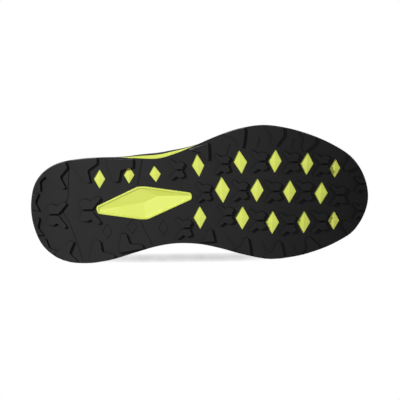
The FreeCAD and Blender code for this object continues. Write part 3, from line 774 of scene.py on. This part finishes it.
# share of the width kept, inset from the edge, share of the wall's height, and flare
MIDSOLE_ROWS = [(0.0, 9, 0, 0), (0.5, 9, 0, 0), (0.86, 6, 0, 0), (1, 2.4, 0, 0.6), (1, 0.9, 0, 0.9),
                (1, 0.5, 0.04, 1), (1, 0.3, 0.14, 1), (1, 0.3, 0.24, 0.95), (1, 0.7, 0.34, 0.9),
                (1, 1.2, 0.42, 0.85), (1, 1.3, 0.48, 0.9), (1, 0.6, 0.53, 1), (1, 0.1, 0.6, 1.1),
                (1, -0.1, 0.7, 1.1), (1, -0.1, 0.84, 0.9), (1, 0.1, 0.95, 0.6), (1, 0.6, 1.0, 0.3),
                (1, 1.2, 1.0, 0), (1, 1.7, 0.96, 0), (1, 2.0, 0.86, 0), (0.97, 2.6, 0.82, 0),
                (0.6, 6, 0.82, 0), (0.0, 8, 0.82, 0)]
LEAN = 2.2                  # how far the side leans in over its height, except at the flare
FLARE, FLARE_MIDDLE, FLARE_REACH = 3.3, -37, 42
ROW_STEPS = 2


def waist_flare(x, y):
    """How far the foam stands past the rubber at the outer waist."""
    share = (x - FLARE_MIDDLE) / FLARE_REACH
    return 0.0 if y > 0 or abs(share) > 1 else FLARE * math.cos(share * math.pi / 2) ** 2


def between(rows, share):
    """Row of a table at a share from 0 to 1, straight between its rows."""
    at = min(share, 0.999999) * (len(rows) - 1)
    i, s = int(at), at - int(at)
    return [a + (b - a) * s for a, b in zip(rows[i], rows[i + 1])]


def sole_point(r, keep, inset, z, flare=0.0):
    """Point at a station of the ring, moved inwards and shrunk onto the middle line."""
    x, y = edge(r)
    nx, ny = outward(r)
    push = waist_flare(x, y) * flare - inset
    x, y = x + nx * push, y + ny * push
    middle = (x + edge((RING - r) % RING)[0]) / 2
    x = middle + (x - middle) * keep
    return Vector((x, spine(x) + (y - spine(x)) * keep, z(x)))


def midsole_point(u, v):
    keep, inset, share, flare = between(MIDSOLE_ROWS, v)
    inset += LEAN * share * (1 - waist_flare(*edge(u * RING)) / FLARE)

    def level(x):
        low = ground(x) + LUG_HEIGHT + RUBBER_SHEET
        return low + (footbed(x) + LIP_HEIGHT - low) * share

    return sole_point(u * RING, keep, inset, level, flare)


midsole_mesh = mapped_grid(RING * 5, (len(MIDSOLE_ROWS) - 1) * ROW_STEPS, midsole_point, True)
piece("midsole_foam", faced_out(midsole_mesh), foam_side, nodes=["midsole"], slot="foam",
      sharp=70.0)

# %% [markdown]
# ## The upper's wall
# The upper is one curved wall. At each station it leaves the sole's edge, leans over the foot and
# ends at the opening, and a cubic curve gives its line between. Any layer of the shoe is then a
# patch of this wall, between two stations and two shares of its height, at some distance out.

# %% Wall of the upper
# x, half width and height of the opening; rise and push of the wall's foot; shoulder and its drop
TOP_LINE = [(-134.0, 0.0, 104.0, 30, 4, 2, 30), (-132.0, 12.0, 103.5, 30, 4, 2, 30),
            (-126.0, 22.0, 101.0, 28, 4, 3, 28), (-112.0, 30.0, 94.0, 27, 3, 4, 25),
            (-94.0, 33.5, 87.5, 26, 2, 4, 22), (-76.0, 33.0, 87.0, 26, 2, 5, 20),
            (-60.0, 29.5, 93.0, 28, 1, 7, 20), (-46.0, 24.0, 102.0, 32, 0, 10, 19),
            (-32.0, 20.5, 100.5, 32, 0, 13, 15), (-18.0, 18.5, 95.5, 30, 0, 15, 12),
            (-3.0, 16.8, 89.5, 28, 0, 16, 9), (12.0, 15.0, 83.5, 26, 0, 18, 7),
            (26.0, 12.6, 78.0, 24, 0, 22, 5), (37.0, 9.5, 73.5, 22, 1, 28, 4),
            (43.0, 6.2, 71.2, 21, 1, 34, 3), (46.0, 3.8, 70.0, 21, 2, 38, 2),
            (47.4, 2.2, 69.5, 21, 2, 41, 2), (48.0, 1.0, 69.3, 21, 2, 43, 2),
            (48.2, 0.0, 69.2, 21, 2, 44, 2)]
UPPER_INSET, UPPER = 5.6, 2.4
FOOT_X, FOOT_Y = inset_ring(UPPER_INSET)
TOPS = ring_of([(x, spine(x) - w, *rest) for x, w, *rest in TOP_LINE],
               [(x, spine(x) + w, *rest) for x, w, *rest in TOP_LINE])
TOP_COLUMNS = list(zip(*TOPS))


def wall(r, t, out=0.0):
    """Point of the upper at station r and share t of its wall, moved outwards by out."""
    fx, fy = smooth(FOOT_X, r), smooth(FOOT_Y, r)
    tx, ty, tz, rise, push, shoulder, drop = (smooth(column, r) for column in TOP_COLUMNS)
    reach = math.hypot(fx - tx, fy - ty)
    fz = footbed(fx) + 0.1
    flat = (reach, reach + push, shoulder, 0.0)
    tall = (fz, fz + rise, tz - drop, tz)
    q = 1 - t
    weights = (q ** 3, 3 * t * q * q, 3 * t * t * q, t ** 3)
    slopes = (-3 * q * q, 3 * q * (1 - 3 * t), 3 * t * (2 - 3 * t), 3 * t * t)
    a, b = (sum(w * p for w, p in zip(weights, row)) for row in (flat, tall))
    da, db = (sum(w * p for w, p in zip(slopes, row)) for row in (flat, tall))
    size = math.hypot(da, db)
    a, b = a + out * db / size, b - out * da / size
    return Vector((tx + (fx - tx) / reach * a, ty + (fy - ty) / reach * a, b))


def wall_normal(r, t):
    across = wall(r + 0.2, t) - wall(r - 0.2, t)
    along = wall(r, t + 0.02) - wall(r, t - 0.02)
    return across.cross(along).normalized()


def side(r, inner):
    """Station r of the outer side, or the matching one of the inner side."""
    return RING - r if inner else r


def value(number, r):
    return number(r) if callable(number) else number


def patch(r0, r1, low, high, under, over, across, along, rim=1.0, ring=False, puff=0.0):
    """A layer on the wall: two sheets that meet in a rounded rim, rim millimetres wide. puff
    lifts its middle."""
    length = (wall(r1, 0.5) - wall(r0, 0.5)).length if not ring else 600.0
    height = (wall((r0 + r1) / 2, value(high, (r0 + r1) / 2))
              - wall((r0 + r1) / 2, value(low, (r0 + r1) / 2))).length

    def fullness(share, size):
        edge_share = min(share, 1 - share) * size / rim
        return math.sqrt(max(0.0, 1 - (1 - min(edge_share, 1.0)) ** 2))

    def eased(share, size):
        """Spaces the rows closer together near both rims."""
        turn = 0.5 - 0.5 * math.cos(share * math.pi)
        mixed = min(1.0, 3 * rim / size)
        return share * (1 - mixed) + turn * mixed

    def sheet(top):
        def shape(u, v):
            cu, cv = (u if ring else eased(u, length)), eased(v, height)
            r = r0 + (r1 - r0) * cu
            t = value(low, r) + (value(high, r) - value(low, r)) * cv
            full = fullness(cv, height) * (1.0 if ring else fullness(cu, length))
            swell = puff * math.sin(cv * math.pi) * full
            return wall(r, t, under + (over - under) * full + swell if top else under)
        return mapped_grid(across, along, shape)

    both = [sheet(True), sheet(False)]
    bmesh.ops.reverse_faces(both[1], faces=both[1].faces)
    mesh = join(both)
    bmesh.ops.remove_doubles(mesh, verts=mesh.verts, dist=0.02)
    bmesh.ops.dissolve_degenerate(mesh, edges=mesh.edges, dist=1e-4)
    return faced_out(mesh)


CLOTH_FRAMES, CLOTH_PRESSURE = 20, 60.0


def swell(mesh, held, cap):
    """Blows a pad up like a cushion. held says which points are sewn down, and no point moves
    further than cap."""
    mesh.normal_update()
    mesh.verts.index_update()
    data = bpy.data.meshes.new("pad_cloth")
    mesh.to_mesh(data)
    data.transform(Matrix.Scale(MM, 4))
    pad = bpy.data.objects.new("pad_cloth", data)
    scene.collection.objects.link(pad)
    sewn = pad.vertex_groups.new(name="sewn")
    sewn.add([vert.index for vert in mesh.verts if held(vert)], 1.0, "REPLACE")
    cloth = pad.modifiers.new("Cloth", "CLOTH").settings
    cloth.use_pressure = True
    cloth.uniform_pressure_force = CLOTH_PRESSURE
    cloth.vertex_group_mass = "sewn"
    cloth.effector_weights.gravity = 0.0
    for frame in range(1, CLOTH_FRAMES + 1):
        scene.frame_set(frame)
    blown = pad.evaluated_get(bpy.context.evaluated_depsgraph_get()).data
    furthest = 0.0
    for vert, after in zip(mesh.verts, blown.vertices):
        step = after.co / MM - vert.co
        furthest = max(furthest, step.length)
        vert.co += step.normalized() * cap * math.tanh(step.length / cap)
    print("cloth moved at most", round(furthest, 2), "mm before its cap of", cap)
    scene.frame_set(1)
    bpy.data.objects.remove(pad)
    bpy.data.meshes.remove(data)


print("toe box height:", round(max(wall(HALF, t / 20).z for t in range(21)), 1), "mm")

# %% [markdown]
# ## Fabrics and films
# The upper is a tight engineered knit: rows of small loops, closed at the toe and heel and open
# along the sides. Films are thin sheets of matt plastic pressed onto it. The lining is a spacer
# mesh of soft hexagons, and tapes are woven in ribs.


# %% Cloth finishes
def knit_cloth(name, dark, light, pitch=1.5, sheen=0.1, size=None):
    """size is the width and length in millimetres of the map that the knit follows."""
    made = Finish(name, Roughness=0.8, Sheen_Weight=sheen, Sheen_Roughness=0.5,
                  Specular_IOR_Level=0.06)
    where = made.place()
    if size:
        across, along = made.cloth()
        where = made.node("CombineXYZ", None, {0: across * size[0], 1: along * size[1]})
    wave_a = made.node("TexWave", {"bands_direction": "X"},
                       {"Vector": where, "Scale": 0.31 / pitch, "Distortion": 2.2, "Detail": 1.0,
                        "Detail Scale": 1.4})
    wave_b = made.node("TexWave", {"bands_direction": "Y" if size else "Z"},
                       {"Vector": where, "Scale": 0.44 / pitch, "Distortion": 1.4, "Detail": 1.0})
    cells = made.node("TexVoronoi", {"feature": "F1"},
                      {"Vector": where, "Scale": 0.62 / pitch, "Randomness": 0.35})
    cloud = made.noise(where, 30.0, 3.0)
    weave = wave_a * 0.35 + wave_b * 0.3 + cells * 0.5
    made.feed("Base Color", made.blend(weave * 0.9 + cloud * 0.3 - 0.25, dark, light))
    made.bump(weave, 0.45, 0.85)
    return made.material


def film(name, dark, light, rough=0.45):
    made = Finish(name, Specular_IOR_Level=0.1)
    where = made.place()
    grain = made.noise(where, 0.45, 2.0, 0.6)
    cloud = made.noise(where, 20.0, 4.0)
    made.feed("Base Color", made.blend(cloud, dark, light))
    made.feed("Roughness", grain * 0.18 + cloud * 0.08 + (rough - 0.13))
    made.bump(grain, 0.05, 0.6)
    return made.material


def ribbed_tape(name, dark, light, direction="X", pitch=0.9):
    made = Finish(name, Roughness=0.75, Sheen_Weight=0.15, Specular_IOR_Level=0.12)
    where = made.place()
    ribs = made.node("TexWave", {"bands_direction": direction},
                     {"Vector": where, "Scale": 0.31 / pitch, "Distortion": 0.4})
    cross = made.node("TexWave", {"bands_direction": "Z"},
                      {"Vector": where, "Scale": 0.31 / (pitch * 1.4), "Distortion": 0.3})
    weave = ribs * 0.6 + cross * 0.4
    made.feed("Base Color", made.blend(weave, dark, light))
    made.bump(weave, 0.35, 0.8)
    return made.material


upper_knit = knit_cloth("upper_knit", grey(0.012), grey(0.05), 2.0, size=(700.0, 125.0))
tongue_knit = knit_cloth("tongue_knit", grey(0.014), grey(0.055), 1.9, size=(55.0, 120.0))
lining_mesh = knit_cloth("lining_mesh", grey(0.02), grey(0.085), 2.4, 0.15)
insole_cloth = knit_cloth("insole_cloth", grey(0.03), grey(0.1), 1.2)
board_felt = knit_cloth("board_felt", grey(0.4), grey(0.6), 1.0)
dark_film = film("dark_film", grey(0.012), grey(0.022), 0.9)
guard_rubber = film("guard_rubber", grey(0.009), grey(0.02), 0.85)
saddle_film = film("saddle_film", grey(0.018), grey(0.028), 0.95)
lime_tape = ribbed_tape("lime_tape", LIME_DEEP, LIME_PALE)
dark_tape = ribbed_tape("dark_tape", grey(0.012), grey(0.05))
eyelet_plastic = film("eyelet_plastic", grey(0.02), grey(0.035), 0.35)
insole_foam = film("insole_foam", grey(0.06), grey(0.09), 0.8)
thread = ribbed_tape("thread", LIME_DEEP, LIME_PALE, pitch=0.3)
dark_thread = ribbed_tape("dark_thread", grey(0.05), grey(0.11), pitch=0.3)

# %% [markdown]
# ## Upper, overlays and stiffeners
# The knit runs round in one piece, so the four panels of the model are replaced by a single
# closed shell. The overlays lie on it in the order they are pressed on: a saddle each side, the
# eyestays, the mudguard tape round the foot, then the rubber toe cap and heel clip.

# %% Upper shell
def layer(name, mesh, finish, nodes, slot):
    """A piece laid on the wall."""
    return piece(name, mesh, finish, nodes=nodes, slot=slot, sharp=60.0)


shell = patch(0, RING, 0.0, 1.0, -UPPER, 0.0, RING * 6, 34, rim=1.1, ring=True)
layer("upper_knit", shell, upper_knit, ["heel_panel", "outer_quarter", "inner_quarter", "vamp"],
      "upper_mesh")

# %% Overlays
FILM = 0.9                  # thickness of the films
GUARD_LOW = 0.07            # share of the wall where the overlays start
# stations between which each overlay lies, on the outer side
TOE_CAP_START, HEEL_CLIP_END = 14.5, 3.0
GUARD_ENDS, EYESTAY_ENDS, SADDLE_ENDS = (2.85, 14.62), (7.0, 13.0), (7.4, 10.4)


def toe_cap_top(r):
    return 0.2 + 0.2 * math.cos((r - HALF) / 3.5 * math.pi / 2)


def heel_clip_top(r):
    wrapped = r - RING if r > HALF else r
    return 0.42 + 0.2 * math.cos(wrapped / 3.0 * math.pi / 2)


def guard_top(r):
    """Top of the mudguard: low at the waist, with two soft waves."""
    near = min(r, RING - r)
    return 0.17 + 0.035 * math.cos((near - 3.5) / 10.5 * 2 * math.pi)


def ends_of(stations, inner):
    return sorted(side(r, inner) for r in stations)


cap = patch(TOE_CAP_START, RING - TOE_CAP_START, GUARD_LOW, toe_cap_top, -0.2, 1.85, 90, 20, 1.6)
layer("toe_cap_rubber", cap, guard_rubber, ["toe_cap"], "guard_rubber")
clip = patch(-HEEL_CLIP_END, HEEL_CLIP_END, GUARD_LOW, heel_clip_top, -0.2, 1.85, 70, 26, 1.6)
layer("heel_clip_rubber", clip, guard_rubber, ["heel_clip"], "guard_rubber")
tape = patch(-0.5, 0.5, 0.64, 0.995, -0.1, 1.3, 14, 26, 0.8)
layer("heel_stay_tape", tape, lime_tape, ["heel_stay"], "webbing")
for name, inner in (("outer", False), ("inner", True)):
    guard = patch(*ends_of(GUARD_ENDS, inner), GUARD_LOW, guard_top, -0.1, FILM, 110, 12)
    layer(f"{name}_mudguard_film", guard, dark_film, [f"{name}_mudguard"], "overlay")
    stay = patch(*ends_of(EYESTAY_ENDS, inner), 0.8, 1.0, -0.1, FILM + 0.35, 90, 14)
    layer(f"{name}_eyestay_film", stay, dark_film, [f"{name}_eyestay"], "overlay")
    saddle = patch(*ends_of(SADDLE_ENDS, inner), 0.18, 0.82, -0.1, 0.55, 50, 44, 0.8)
    layer(f"{name}_saddle_film", saddle, saddle_film, [f"{name}_saddle"], "accent")

# %% Linings and hidden stiffeners
lining = patch(-3.5, 3.5, 0.07, 0.6, -UPPER - 2.9, -UPPER - 1.9, 60, 24, 0.8)
layer("heel_lining_mesh", lining, lining_mesh, ["heel_lining"], "lining")
for node, finish in (("heel_counter", board_felt), ("toe_puff", board_felt),
                     ("strobel_board", board_felt), ("outer_eyelets", eyelet_plastic),
                     ("inner_eyelets", eyelet_plastic), ("lace_keeper", lime_tape)):
    data = frame["nodes"][node].data
    data.materials.clear()
    data.materials.append(finish)

# %% [markdown]
# ## Collar padding and binding
# Soft foam fills the collar from ankle to ankle. Its back and its rims are sewn to the knit, and
# its free face swells inwards as cloth. A round binding closes its top edge.


# %% Collar
def collar_low(r):
    near = min(r % RING, RING - r % RING)
    return 0.62 + 0.1 * near / 6.5


COLLAR_MIDDLE = -92.0       # x of the middle of the opening


def faces_the_knit(vert):
    out = Vector((vert.co.x - COLLAR_MIDDLE, vert.co.y - spine(COLLAR_MIDDLE), 0.0)).normalized()
    return vert.normal.dot(out) > -0.1


collar_mesh = patch(-6.5, 6.5, collar_low, 0.985, -UPPER - 0.8, -UPPER - 4.2, 110, 26, rim=5.0,
                    puff=-1.2)
swell(collar_mesh, faces_the_knit, 1.0)
collar = piece("collar_padding", collar_mesh, lining_mesh, nodes=["collar_pad"], slot="lining",
               sharp=80.0)


def tube(points, radius, sides, flat=1.0, lifts=None):
    """A round or flat tube through points; lifts gives the direction its flat face looks."""
    count = len(points)

    def shape(u, v):
        at = u * (count - 1)
        i = min(int(at), count - 2)
        s = at - i
        spot = points[i].lerp(points[i + 1], s)
        after, before = points[min(i + 1, count - 1)], points[max(i - 1, 0)]
        ahead = (points[min(i + 2, count - 1)] - points[i]).normalized()
        behind = (after - before).normalized()
        run = behind.lerp(ahead, s).normalized()
        lift = lifts[i].lerp(lifts[i + 1], s) if lifts else Vector((0, 0, 1))
        across = run.cross(lift).normalized()
        rise = across.cross(run).normalized()
        turn = v * 2 * math.pi
        return spot + across * math.cos(turn) * radius + rise * math.sin(turn) * radius * flat

    mesh = mapped_grid(count * 2, sides, shape)
    bmesh.ops.remove_doubles(mesh, verts=mesh.verts, dist=0.005)
    ends = [edge for edge in mesh.edges if edge.is_boundary]
    bmesh.ops.holes_fill(mesh, edges=ends, sides=0)
    return faced_out(mesh)


rim_line = [wall(-7.2 + 14.4 * k / 90, 1.0, -1.6) + Vector((0, 0, 0.3)) for k in range(91)]
piece("collar_binding", tube(rim_line, 1.9, 12), dark_tape, slot="lining", sharp=80.0)

# %% [markdown]
# ## Shape of the tongue
# The tongue arches across the foot. Under the eyestays its sections follow the opening, and its
# free top rises behind them. The lace needs its surface too, so the tables come first.

# %% Tongue tables
TONGUE_DROP, TONGUE_FOAM, TONGUE_CROWN = 3.6, 6.5, 114.0
TONGUE_HINGE_X = -47.0
TONGUE_TIP = [(-18.0, 14.5, 30.0, 0.72, 5.0), (-13.0, 11.0, 28.5, 0.9, 7.0),
              (-7.0, 6.0, 27.0, 1.0, 7.5), (0.0, 0.0, 25.5, 1.05, 7.0)]


def tongue_row(i):
    """x, crown, radius, half angle and thickness under the eyestays at station i."""
    x, w, z, _, _, shoulder, drop = TOP_LINE[i]
    slope = math.atan2(drop, shoulder)
    radius = w / math.sin(slope)
    crown = z + radius * (1 - math.cos(slope)) - TONGUE_DROP
    radius -= TONGUE_DROP
    return x, crown, radius, math.asin(min(0.9, (w + 3.0) / radius)), TONGUE_FOAM


TONGUE_ROWS = [(TONGUE_HINGE_X + dx, TONGUE_CROWN + dz, radius, half, thick)
               for dx, dz, radius, half, thick in TONGUE_TIP]
TONGUE_ROWS += [tongue_row(i) for i in range(8, 15)]
TONGUE_ROWS.append((56.0, 65.0, TONGUE_ROWS[-1][2], 0.13, 4.0))


def tongue_section(x):
    """The tongue's row at x."""
    rows = [row for row in TONGUE_ROWS if row[0] <= x] or TONGUE_ROWS[:1]
    row, after = rows[-1], TONGUE_ROWS[min(len(rows), len(TONGUE_ROWS) - 1)]
    s = (x - row[0]) / (after[0] - row[0]) if after[0] > row[0] else 0.0
    return [a + (b - a) * s for a, b in zip(row, after)]


def tongue_top(x, y):
    """Height of the tongue's face at a place."""
    _, crown, radius, _, _ = tongue_section(x)
    off = min(abs(y - spine(x)), radius * 0.8)
    return crown - radius + math.sqrt(radius * radius - off * off)


print("tongue crown at the top eyelets:", round(tongue_top(-32, spine(-32)), 1), "mm")

# %% [markdown]
# ## Eyelets and lace
# Six eyelets a side take a flat braided lace. Each run of it comes up through one eyelet, bends
# over the eyestay's edge, crosses the tongue and goes down through the eyelet of the other side.

# %% Lace
EYELET_STATIONS = [7.5, 8.5, 9.5, 10.5, 11.5, 12.5]
EYELET_SHARE = 0.9
LACE_HALF, LACE_FLAT = 2.3, 0.4
UP = Vector((0, 0, 1))


def way_up(index, inner, height):
    """Up through an eyelet and onto the edge of the opening, as (point, lift) pairs."""
    r = side(EYELET_STATIONS[index], inner)
    spot, normal = wall(r, EYELET_SHARE), wall_normal(r, EYELET_SHARE)
    rim = wall(r, 1.0, FILM + 1.3) + UP * (0.4 + height)
    return [(spot - normal * 1.5, normal), (spot + normal * (2.4 + height * 0.5), normal),
            (rim, (normal + UP) / 2)]


def lace_run(index_a, inner_a, index_b, inner_b, height):
    """One run from eyelet to eyelet, over both edges of the opening and the tongue."""
    stops, far = way_up(index_a, inner_a, height), way_up(index_b, inner_b, height)
    (rim_a, _), (rim_b, _) = stops[-1], far[-1]
    for share in (0.22, 0.5, 0.78):
        spot = rim_a.lerp(rim_b, share)
        spot.z = max(spot.z, tongue_top(spot.x, spot.y) + 1.3 + height)
        stops.append((spot, UP))
    stops += reversed(far)
    points, lifts = [], []
    for k in range(49):
        at = k / 48 * (len(stops) - 1)
        i, s = min(int(at), len(stops) - 2), at - min(int(at), len(stops) - 2)
        around = [stops[max(0, min(len(stops) - 1, i + d))] for d in (-1, 0, 1, 2)]
        points.append(curve(*(point for point, _ in around), s))
        lifts.append(around[1][1].lerp(around[2][1], s).normalized())
    return tube(points, LACE_HALF, 10, LACE_FLAT, lifts)


runs = [lace_run(5, False, 5, True, 0.0)]
for i in range(5):
    runs.append(lace_run(i + 1, False, i, True, 0.0))
    runs.append(lace_run(i + 1, True, i, False, 1.9))
piece("lace_runs", join(runs), lime_tape, nodes=["lace"], slot="lace", sharp=60.0)

# %% [markdown]
# ## Tongue
# The tongue is a long pad under the lace. Its lower part follows the eyestays and is held by the
# lace; its top is a body of the frame that bends back and forth. One mesh stands for both parts
# and rides on neither body.
# Six seams run along it, and between them its face swells as cloth.

# %% Tongue
CHANNELS, TONGUE_SWELL = 5, 0.6
TONGUE_FILLED = 0.985       # share of its width that the pad fills


def tongue_face(top):
    """Upper or lower face of the tongue, padded in lengthwise channels."""
    def shape(u, v):
        x, crown, radius, half, thick = between(TONGUE_ROWS, 0.006 + v * 0.988)
        a = (2 * u - 1) * half * TONGUE_FILLED
        rim = min(1.0, min(u, 1 - u) * 9.0, min(v, 1 - v) * 22.0)
        full = math.sqrt(max(0.0, 1 - (1 - rim) ** 2))
        channel = 0.7 * abs(math.sin(u * CHANNELS * math.pi)) ** 0.6 - 0.7 - TONGUE_SWELL
        middle = radius - thick / 2
        r = middle + (thick / 2 - 0.4 + channel if top else 0.4 - thick / 2) * full
        return Vector((x, spine(x) + r * math.sin(a), crown - radius + r * math.cos(a)))
    return mapped_grid(60, 90, shape)


def tongue_sewn(vert):
    """True on the lower face and along the seams of the upper one."""
    x, y, z = vert.co
    _, crown, radius, half, thick = tongue_section(x)
    across, up = y - spine(x), z - crown + radius
    lane = (math.atan2(across, up) / (half * TONGUE_FILLED) + 1) / 2 * CHANNELS
    return math.hypot(across, up) < radius - thick / 2 + 0.4 or abs(lane - round(lane)) < 0.06


tongue_faces = [tongue_face(True), tongue_face(False)]
bmesh.ops.reverse_faces(tongue_faces[1], faces=tongue_faces[1].faces)
tongue_mesh = join(tongue_faces)
bmesh.ops.remove_doubles(tongue_mesh, verts=tongue_mesh.verts, dist=0.01)
swell(faced_out(tongue_mesh), tongue_sewn, TONGUE_SWELL)
tongue = piece("tongue_padding", tongue_mesh, tongue_knit, None, ["tongue_body", "tongue_tip"],
               "tongue_mesh", 80.0)
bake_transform(tongue)

# %% [markdown]
# ## Insole
# The insole lies loose in the shoe. The frame bends it at the ball when its heel is lifted, while
# this one mesh for both parts rides on neither body. Cloth is bonded to the foam and turns up a
# little at the rim.

# %% Insole
INSOLE_INSET = 5.6 + 2.4 + 3.2
INSOLE_LOW, INSOLE_FOAM, COVER = 1.5, 4.0, 0.8


def bed_layer(low, high, rows):
    """A layer on the foot bed between two heights above it, as a closed mapped grid."""
    def shape(u, v):
        keep, inset, share, lift = between(rows, v)
        return sole_point(u * RING, keep, INSOLE_INSET + inset,
                          lambda x: footbed(x) + low + (high - low) * share + lift)
    return faced_out(mapped_grid(RING * 4, (len(rows) - 1) * 2, shape, True))


FOAM_ROWS = [(0, 3, 0, 0), (0.5, 3, 0, 0), (0.9, 1, 0, 0), (1, 0.6, 0, 0), (1, 0, 0.3, 0),
             (1, 0, 0.9, 0), (1, 0.3, 1, 0), (0.9, 1, 1, 0), (0.5, 3, 1, 0), (0, 3, 1, 0)]
insole = piece("insole_foam", bed_layer(INSOLE_LOW, INSOLE_LOW + INSOLE_FOAM, FOAM_ROWS),
               insole_foam, None, ["insole_heel", "insole_front"], "insole_foam", 60.0)
cover_low = INSOLE_LOW + INSOLE_FOAM + 0.02
cloth = piece("insole_cover", bed_layer(cover_low, cover_low + COVER, FOAM_ROWS), insole_cloth,
              None, ["insole_cloth_heel", "insole_cloth_front"], "insole_cloth", 60.0)
for bent in (insole, cloth):
    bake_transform(bent)

# %% [markdown]
# ## Pull loop
# A woven tape folded into a loop and sewn into the top of the heel.

# %% Pull loop
LOOP_HALF, LOOP_RISE, TAB_WIDTH, TAB_STRAP = 4.6, 15.0, 13.0, 1.8
LOOP_HINGE = Vector((-134.6, 14.4, 109.2))


def loop_line(share, reach):
    """Point of the loop's side view, once round, at some distance from its middle line."""
    turn = share * 2 * math.pi
    x, z = -reach * math.sin(turn), -reach * math.cos(turn)
    return x, z + (LOOP_RISE if math.cos(turn) < 0 else 0.0)


def loop_strap():
    """The tape's section, a flat bar with its corners cut, carried once round the loop."""
    outer, inner, half, cut = LOOP_HALF, LOOP_HALF - TAB_STRAP, TAB_WIDTH / 2 - 0.2, 0.35
    section = [(outer, -half + cut), (outer, half - cut), (outer - cut, half), (inner + cut, half),
               (inner, half - cut), (inner, -half + cut), (inner + cut, -half),
               (outer - cut, -half), (outer, -half + cut)]

    def shape(u, v):
        reach, across = between(section, v)
        x, z = loop_line(u, reach)
        return LOOP_HINGE + Vector((x, across, z))

    return faced_out(mapped_grid(64, len(section) - 1, shape, True))


piece("pull_loop_tape", loop_strap(), lime_tape, "heel_loop", ["pull_loop"], "webbing", 50.0)

# %% [markdown]
# ## Stitching
# Rows of stitches hold the overlays. Each stitch is a tiny rounded bar, so the hundreds of them
# stay light, laid end to end along a line of the wall.


# %% Stitches
def stitch_row(line, length=2.4, gap=1.0, thick=0.32):
    """Stitches along a list of (point, normal)."""
    mesh = bmesh.new()
    run, last = 0.0, line[0]
    for spot, normal in line[1:]:
        run += (spot - last[0]).length
        if run >= length + gap:
            way = (spot - last[0]).normalized()
            cross = normal.cross(way).normalized()
            axes = Matrix((way * length / 2, cross * thick, normal * thick)).transposed().to_4x4()
            axes.translation = spot
            bmesh.ops.create_uvsphere(mesh, u_segments=6, v_segments=4, radius=1.0, matrix=axes)
            run = 0.0
        last = (spot, normal)
    return mesh


def wall_line(r0, r1, share, out, steps=400):
    rows = []
    for k in range(steps + 1):
        r = r0 + (r1 - r0) * k / steps
        rows.append((wall(r, value(share, r), out), wall_normal(r, value(share, r))))
    return rows


rows = [wall_line(TOE_CAP_START + 0.2, RING - TOE_CAP_START - 0.2,
                  lambda r: toe_cap_top(r) - 0.025, 1.75)]
rows += [wall_line(0.2 - HEEL_CLIP_END, HEEL_CLIP_END - 0.2,
                   lambda r: heel_clip_top(r) - 0.03, 1.75)]
rows += [wall_line(-6.4, 6.4, 0.955, 0.05)]
dark_rows = []
for inner in (False, True):
    dark_rows.append(wall_line(side(3.6, inner), side(14.0, inner),
                               lambda r: guard_top(r) - 0.022, FILM - 0.1))
    for station in (7.52, 10.28):
        r = side(station, inner)
        dark_rows.append([(wall(r, t / 120, 0.5), wall_normal(r, t / 120)) for t in range(24, 96)])
    for share in (0.825, 0.975):
        rows.append(wall_line(side(7.1, inner), side(12.9, inner), share, FILM + 0.3))
for name, lines, finish, slot in (("lime_stitches", rows, thread, "lace"),
                                  ("dark_stitches", dark_rows, dark_thread, "overlay")):
    piece(name, join([stitch_row(line) for line in lines]), finish, slot=slot, sharp=80.0)

# %% [markdown]
# ## Ground shadow
# Seen from below, the shoe lies on its inner side on white, and a faint shadow shows beside the
# waist. It is painted on a patch behind the sole. The patch casts no light or shadow on the shoe
# and can't be seen from its back.


# %% Ground shadow
def shadow_paint():
    made = Finish("shadow_paint")
    where = made.place()
    x, y, _ = made.axes(where)
    along = (x + 15.0) * 0.0115
    across = (y - 59.0 + x * 0.012) * 0.22
    mist = made.noise(where, 9.0, 3.0)
    soft = (1 - (along * along * along * along + across * across)).limited()
    facing = made.node("NewGeometry", output=6)
    share = soft * (mist * 0.5 + 0.5) * (1 - facing)
    clear = made.tree.nodes.new("ShaderNodeBsdfTransparent")
    paint = made.tree.nodes.new("ShaderNodeEmission")
    paint.inputs["Color"].default_value = grey(0.55)
    paint.inputs["Strength"].default_value = 1.0
    mixed = made.tree.nodes.new("ShaderNodeMixShader")
    made.tree.links.new(share.socket, mixed.inputs[0])
    made.tree.links.new(clear.outputs[0], mixed.inputs[1])
    made.tree.links.new(paint.outputs[0], mixed.inputs[2])
    made.tree.links.new(mixed.outputs[0], made.tree.nodes["Material Output"].inputs["Surface"])
    return made.material


SHADOW_PLACE, SHADOW_SIZE = (-15.0, 50.0, 32.0), 130.0
shadow_mesh = bmesh.new()
bmesh.ops.create_grid(shadow_mesh, x_segments=2, y_segments=2, size=SHADOW_SIZE)
bmesh.ops.translate(shadow_mesh, vec=SHADOW_PLACE, verts=shadow_mesh.verts)
bmesh.ops.reverse_faces(shadow_mesh, faces=shadow_mesh.faces)
shadow = piece("ground_shadow", shadow_mesh, shadow_paint(), body=None)
for ray in ("diffuse", "glossy", "transmission", "shadow", "volume_scatter"):
    setattr(shadow, f"visible_{ray}", False)
